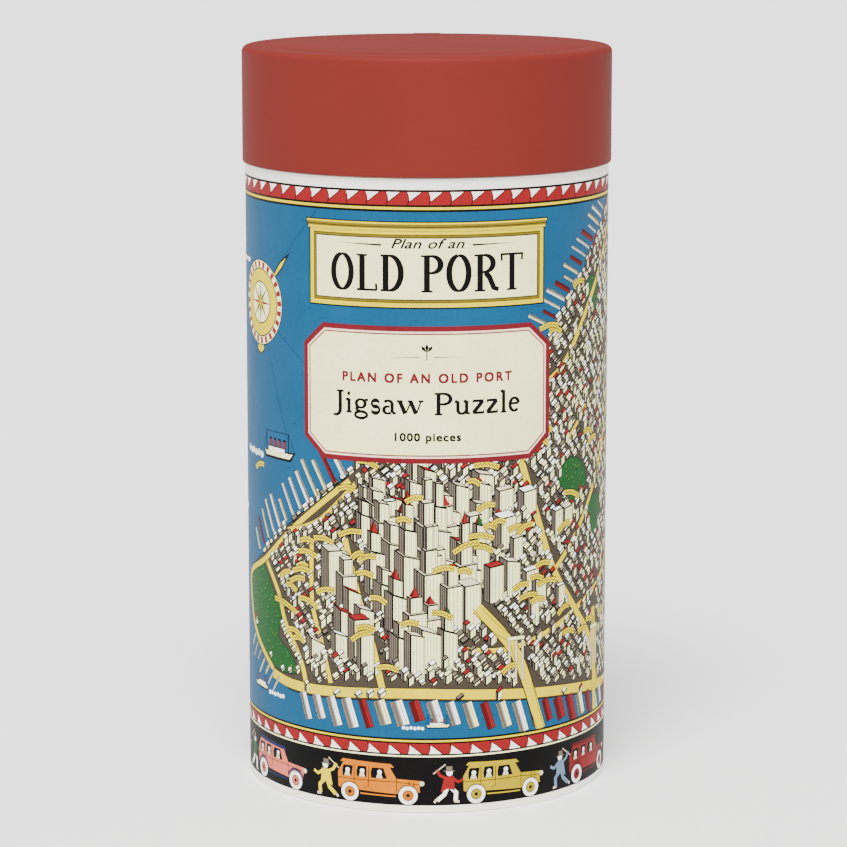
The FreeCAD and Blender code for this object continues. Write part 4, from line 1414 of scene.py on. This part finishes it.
class ClothBag(bpy.types.Operator):
    """Make the muslin bag: a round sack gathered to a neck, with a flared ruffle above its tie"""

    bl_idname = "puzzle_tube.cloth_bag"
    bl_label = "Muslin bag"

    def execute(self, context):
        makings = context.scene.tube_makings
        low, high = (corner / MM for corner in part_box("muslin_bag"))
        reach = max(high.xy)
        foot = low.z + 0.05
        wall = reach - 0.7
        profile = [(0.3, foot), (12.0, foot), (26.0, foot), (42.0, foot), (wall - 7.0, foot)]
        profile += arc((wall - 5.0, foot + 5.0), 5.0, -80, 0, 5)
        profile += [(wall, foot + 5 + 155 * share / 34) for share in range(1, 35)]
        shoulder = [(wall, 166.0), (wall - 0.8, 174.0), (57.0, 183.0), (49.5, 190.5), (39.0, 197.0),
                    (28.0, 201.5), (18.0, 205.0), (10.8, 207.2), (7.4, 208.6), (7.1, 209.3), (7.6, 210.4),
                    (9.8, 212.8), (13.0, 216.0), (16.4, 219.4), (18.4, 222.0)]
        profile += smooth(shoulder, steps=3)[1:]
        bag = ringed_shell("bag_cloth", profile, 138)
        edit_some(bag, "VERT", lambda place: math.hypot(place.x, place.y) < 0.5 * MM)
        bpy.ops.mesh.merge(type="CENTER")
        bpy.ops.object.mode_set(mode="OBJECT")
        normals_outwards(bag)
        self.unwrap(bag, profile)
        self.gather(bag)
        self.settle(context, bag)
        self.keep_clear(bag, reach)
        finished_with(bag, "SUBSURF", levels=1, render_levels=1)
        # The sack's open sides face inwards here, so the cloth's thickness goes inwards too.
        finished_with(bag, "SOLIDIFY", thickness=makings.cloth_thickness, offset=1.0)
        smooth_below(bag, 60)
        put_on(bag, cloth_finish("muslin_cloth", makings.cloth_cream))
        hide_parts("muslin_bag")
        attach(bag, "bag")
        return {"FINISHED"}

    def unwrap(self, bag, profile):
        """Lay the cloth out flat: round the bag across, and along its outline up."""
        runs = [0.0]
        for a, b in zip(profile, profile[1:]):
            runs.append(runs[-1] + math.dist(a, b))
        layer = bag.data.uv_layers.new(name="cloth")
        spots = [(math.hypot(corner.co.x, corner.co.y) / MM, corner.co.z / MM)
                 for corner in bag.data.vertices]
        ups = [runs[min(range(len(profile)), key=lambda number: math.dist(profile[number], spot))] * MM
               for spot in spots]
        for face in bag.data.polygons:
            first = None
            for number in face.loop_indices:
                corner = bag.data.vertices[bag.data.loops[number].vertex_index]
                angle = math.atan2(corner.co.x, -corner.co.y)
                first = angle if first is None else first
                # The face that crosses the back keeps its corners on the same side of the seam.
                angle += math.tau * round((first - angle) / math.tau)
                layer.data[number].uv = (angle * 0.0615, ups[corner.index])

    def gather(self, bag):
        """Press the cloth into folds that deepen towards the neck, and let it dent between the pieces."""
        for corner in bag.data.vertices:
            radius, height = math.hypot(corner.co.x, corner.co.y) / MM, corner.co.z / MM
            angle = math.atan2(corner.co.y, corner.co.x)
            gathered = min(1.0, max(0.0, (height - GATHER_FOOT) / 62.0)) ** 1.2
            push = 0.0
            if radius > 3:
                push += gathered * folds(angle, height) * min(7.0, 0.34 * radius)
            if height < 190:
                place = Vector((math.cos(angle) * 3.2, math.sin(angle) * 3.2, height * 0.045))
                push += 0.5 * noise.noise(place) + 0.3 * noise.noise(place * 2.7)
            if height > RUFFLE_FOOT:
                corner.co.z += folds(angle + 0.3, 0) * 0.7 * MM * (height - RUFFLE_FOOT) / 6
            share = (radius + push) / max(radius, 0.01)
            corner.co.x *= share
            corner.co.y *= share

    def settle(self, context, bag):
        """Let the cloth slacken by a few hundredths and crease, with its foot and its neck held."""
        held = bag.vertex_groups.new(name="held")
        for corner in bag.data.vertices:
            if not HELD_BELOW < corner.co.z / MM < HELD_ABOVE:
                held.add([corner.index], 1.0, "REPLACE")
        cloth = bag.modifiers.new("Cloth", "CLOTH")
        cloth.settings.vertex_group_mass = "held"
        cloth.settings.use_pressure = True
        cloth.settings.uniform_pressure_force = 2.0
        cloth.settings.shrink_min = -0.05
        cloth.settings.effector_weights.gravity = 0.0
        cloth.point_cache.frame_start, cloth.point_cache.frame_end = 1, SETTLING_FRAMES
        for frame_number in range(1, SETTLING_FRAMES + 1):
            context.scene.frame_set(frame_number)
        settled = bag.evaluated_get(context.evaluated_depsgraph_get()).data
        most = 4.0 * MM
        moves = [now.co - then.co for now, then in zip(settled.vertices, bag.data.vertices)]
        bag.modifiers.remove(cloth)
        context.scene.frame_set(1)
        for corner, move in zip(bag.data.vertices, moves):
            corner.co += move * min(1.0, most / max(move.length, 1e-9))

    def keep_clear(self, bag, reach):
        """Keep the cloth inside the tube and outside the pieces that fill it."""
        for corner in bag.data.vertices:
            radius, height = math.hypot(corner.co.x, corner.co.y) / MM, corner.co.z / MM
            least = reach - 1.5 if FILL_FOOT < height < FILL_TOP else 0.0
            if height < 5.0 and radius < reach - 5:
                corner.co.z = min(corner.co.z, 2.75 * MM)
            angle = math.atan2(corner.co.y, corner.co.x)
            place = Vector((math.cos(angle) * 2.6, math.sin(angle) * 2.6, height * 0.016 + angle * 0.4))
            crease = sum((1 - abs(noise.noise(place * size + Vector((0, 0, size))))) ** 5
                         for size in (1.0, 1.9))
            pressed = min(radius, reach) - (1.5 * crease if FILL_FOOT < height < 205.0 else 0.0)
            share = max(pressed, least) / max(radius, 0.01)
            corner.co.x *= share
            corner.co.y *= share
            corner.co.z = max(corner.co.z, 2.45 * MM)


class TieCord(bpy.types.Operator):
    """Wind a twisted cotton cord once round the neck of the bag"""

    bl_idname = "puzzle_tube.tie_cord"
    bl_label = "Tie cord"

    def execute(self, context):
        makings = context.scene.tube_makings
        low, high = (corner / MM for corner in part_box("bag_tie_cord"))
        height = (low.z + high.z) / 2
        thickness = (high.z - low.z) / 2
        around = max(high.xy) - thickness
        strand = makings.strand / MM / 2
        nothing_selected()
        path = bpy.data.curves.new("tie_cord", "CURVE")
        path.dimensions = "3D"
        path.bevel_depth = strand * MM
        path.bevel_resolution = 2
        count, turns = 240, 22
        for number in range(3):
            line = path.splines.new("POLY")
            line.points.add(count - 1)
            line.use_cyclic_u = True
            for step in range(count):
                angle = math.tau * step / count
                twist = turns * angle + math.tau * number / 3
                out = around + (thickness - strand) * math.cos(twist)
                up = height + (thickness - strand) * math.sin(twist)
                line.points[step].co = (out * MM * math.cos(angle), out * MM * math.sin(angle), up * MM, 1)
        cord = bpy.data.objects.new("tie_cord", path)
        context.collection.objects.link(cord)
        context.view_layer.objects.active = cord
        cord.select_set(True)
        bpy.ops.object.convert(target="MESH")
        cord = start_piece("tie_cord_twist")
        normals_outwards(cord)
        bpy.ops.object.shade_smooth()
        finish = Finish("cotton_twist", Specular_IOR_Level=0.15, Sheen_Weight=0.3)
        fluff = finish.noise(2600.0, 3.0, roughness=0.7)
        colour = makings.cord_cream
        shade = finish.spread(fluff, 0.3, 0.7)
        finish.feed("Base Color", finish.mix(shade, tint(colour, 0.75), tint(colour, 1.08)))
        finish.feed("Roughness", 0.85 + (fluff - 0.5) * 0.2)
        finish.bump(fluff, 0.0001, 0.7)
        put_on(cord, finish.material)
        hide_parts("bag_tie_cord")
        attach(cord, "bag")
        return {"FINISHED"}


def town_print(finish):
    """A plan of small blocks between roads beside open water, for the picture sheet and the pieces."""
    place = finish.object_place()
    cells = {"Vector": place, "Scale": 260.0, "Randomness": 0.8}
    edge = finish.node("ShaderNodeTexVoronoi", {"feature": "DISTANCE_TO_EDGE"}, cells)
    pick = finish.node("ShaderNodeTexVoronoi", {}, cells, output=1)
    split = finish.node("ShaderNodeSeparateColor", {}, {"Color": pick})
    wide = {"Vector": place, "Scale": 42.0, "Randomness": 1.0}
    roads = finish.node("ShaderNodeTexVoronoi", {"feature": "DISTANCE_TO_EDGE"}, wide)
    walls = finish.mix(split, (0.9, 0.86, 0.72, 1), (0.42, 0.38, 0.32, 1))
    roofs = finish.mix(finish.spread(split, 0.82, 0.83), walls, (0.6, 0.05, 0.04, 1))
    lined = finish.mix(finish.spread(edge, 0.05, 0.09), (0.02, 0.02, 0.02, 1), roofs)
    town = finish.mix(finish.spread(roads, 0.045, 0.06), (0.85, 0.74, 0.12, 1), lined)
    shore = finish.spread(finish.noise(16.0, 1.0, place), 0.5, 0.51)
    return finish.mix(shore, town, (0.04, 0.22, 0.42, 1))


class FoldedPicture(bpy.types.Operator):
    """Fold the printed picture sheet and lay it on the bag"""

    bl_idname = "puzzle_tube.folded_picture"
    bl_label = "Folded picture"

    def execute(self, context):
        low, high = (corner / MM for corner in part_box("picture_sheet"))
        panels, steps, margin = 6, 8, 0.08
        pitch = (high.z - low.z - 2 * margin) / (panels - 1)
        half = high.x - pitch / 2 - 0.1
        spine = []
        for panel in range(panels):
            way = 1 if panel % 2 == 0 else -1
            level = low.z + margin + panel * pitch
            spine += [(way * half * step / steps, level) for step in range(-steps, steps + 1)]
            if panel < panels - 1:
                turn = arc((way * half, level + pitch / 2), pitch / 2, -90, 90, 6)[1:-1]
                spine += [(way * half + way * (u - way * half), v) for u, v in turn]
        nothing_selected()
        bpy.ops.mesh.primitive_grid_add(x_subdivisions=len(spine) - 1, y_subdivisions=12, size=1.0)
        picture = start_piece("folded_picture")
        for corner in picture.data.vertices:
            along, across = corner.co.x + 0.5, corner.co.y + 0.5
            u, v = spine[round(along * (len(spine) - 1))]
            corner.co = Vector((u, low.y + (high.y - low.y) * across, v)) * MM
        normals_outwards(picture)
        finished_with(picture, "SOLIDIFY", thickness=0.00012, offset=0.0)
        smooth_below(picture, 50)
        finish = Finish("picture_print", Roughness=0.5, Specular_IOR_Level=0.3)
        finish.feed("Base Color", town_print(finish))
        put_on(picture, finish.material)
        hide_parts("picture_sheet")
        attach(picture, "picture")
        return {"FINISHED"}


class LoosePieces(bpy.types.Operator):
    """Print one side of the puzzle pieces, and leave their backs and edges plain board"""

    bl_idname = "puzzle_tube.loose_pieces"
    bl_label = "Puzzle pieces"

    LAYER_HEIGHT = 2.0

    def execute(self, context):
        back = board_finish("piece_board", context.scene.tube_makings.piece_blue)
        finish = Finish("piece_print", Roughness=0.4, Specular_IOR_Level=0.4)
        finish.feed("Base Color", town_print(finish))
        for node in PUZZLE_NODES:
            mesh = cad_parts[node].data
            put_on(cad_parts[node], back)
            mesh.materials.append(finish.material)
            for face in mesh.polygons:
                layer = int(face.center.z / MM / self.LAYER_HEIGHT)
                # Two layers of every three lie picture side up.
                upwards = 1 if layer % 3 else -1
                face.material_index = 1 if face.normal.z * upwards > 0.9 else 0
        return {"FINISHED"}


# ---------------------------------------------------------------- the stage


KEY_LIGHT_FROM = (-0.2, -1.3, 2.2)
CAMERA_PLACE = (0, -1.227, 0.348)
AIM = (0, 0, 0.1445)


class Stage(bpy.types.Operator):
    """Set the pale floor, the soft light and the camera"""

    bl_idname = "puzzle_tube.stage"
    bl_label = "Floor, light and camera"

    def execute(self, context):
        makings = context.scene.tube_stage
        nothing_selected()
        bpy.ops.mesh.primitive_plane_add(size=makings.width, location=(0, 0, -0.0002))
        floor = start_piece("floor")
        bpy.ops.object.transform_apply(location=True, rotation=True, scale=True)
        finish = Finish("floor_paint", Roughness=0.55, Specular_IOR_Level=0.2)
        grain = finish.noise(9.0, 2.0)
        colour = makings.floor
        finish.feed("Base Color", finish.mix(grain, tint(colour, 0.985), tint(colour, 1.0)))
        put_on(floor, finish.material)
        world = bpy.data.worlds.new("studio")
        world.use_nodes = True
        world.node_tree.nodes["Background"].inputs["Color"].default_value = (1, 1, 1, 1)
        world.node_tree.nodes["Background"].inputs["Strength"].default_value = makings.sky
        context.scene.world = world
        key = bpy.data.lights.new("key_light", "SUN")
        key.energy = makings.key
        key.angle = math.radians(32)
        lamp = bpy.data.objects.new("key_light", key)
        lamp.location = KEY_LIGHT_FROM
        lamp.rotation_euler = lamp.location.to_track_quat("Z", "Y").to_euler()
        context.collection.objects.link(lamp)
        camera = bpy.data.cameras.new("camera")
        camera.lens = makings.lens
        camera.sensor_width = 36
        camera.shift_x, camera.shift_y = -0.004, -0.05
        camera.clip_start, camera.clip_end = 0.01, 100
        stand = bpy.data.objects.new("camera", camera)
        stand.location = CAMERA_PLACE
        aim = Vector(AIM) - stand.location
        stand.rotation_euler = aim.to_track_quat("-Z", "Y").to_euler()
        context.collection.objects.link(stand)
        context.scene.camera = stand
        return {"FINISHED"}


OPERATORS = (Boards, PrintedWrap, LidPapers, ClothBag, TieCord, FoldedPicture, LoosePieces, Stage)


class TubePanel(bpy.types.Panel):
    """Lists the pieces of the puzzle tube and what can be changed on them"""

    bl_idname = "VIEW3D_PT_puzzle_tube"
    bl_label = "Puzzle tube"
    bl_space_type = "VIEW_3D"
    bl_region_type = "UI"
    bl_category = "Puzzle tube"

    def draw(self, context):
        column = self.layout.column()
        for operator in OPERATORS:
            column.operator(operator.bl_idname)
        for group in (context.scene.tube_makings, context.scene.tube_inks, context.scene.tube_stage):
            for name in group.bl_rna.properties.keys()[2:]:
                column.prop(group, name)


CLASSES = (TubeInks, TubeMakings, StageMakings, *OPERATORS, TubePanel)


def register():
    for kind in CLASSES:
        bpy.utils.register_class(kind)
    bpy.types.Scene.tube_inks = bpy.props.PointerProperty(type=TubeInks)
    bpy.types.Scene.tube_makings = bpy.props.PointerProperty(type=TubeMakings)
    bpy.types.Scene.tube_stage = bpy.props.PointerProperty(type=StageMakings)


def unregister():
    del bpy.types.Scene.tube_stage
    del bpy.types.Scene.tube_makings
    del bpy.types.Scene.tube_inks
    for kind in reversed(CLASSES):
        bpy.utils.unregister_class(kind)


def main():
    register()
    bpy.ops.puzzle_tube.boards()
    bpy.ops.puzzle_tube.printed_wrap()
    bpy.ops.puzzle_tube.lid_papers()
    bpy.ops.puzzle_tube.cloth_bag()
    bpy.ops.puzzle_tube.tie_cord()
    bpy.ops.puzzle_tube.folded_picture()
    bpy.ops.puzzle_tube.loose_pieces()
    bpy.ops.puzzle_tube.stage()


if __name__ == "__main__":
    main()
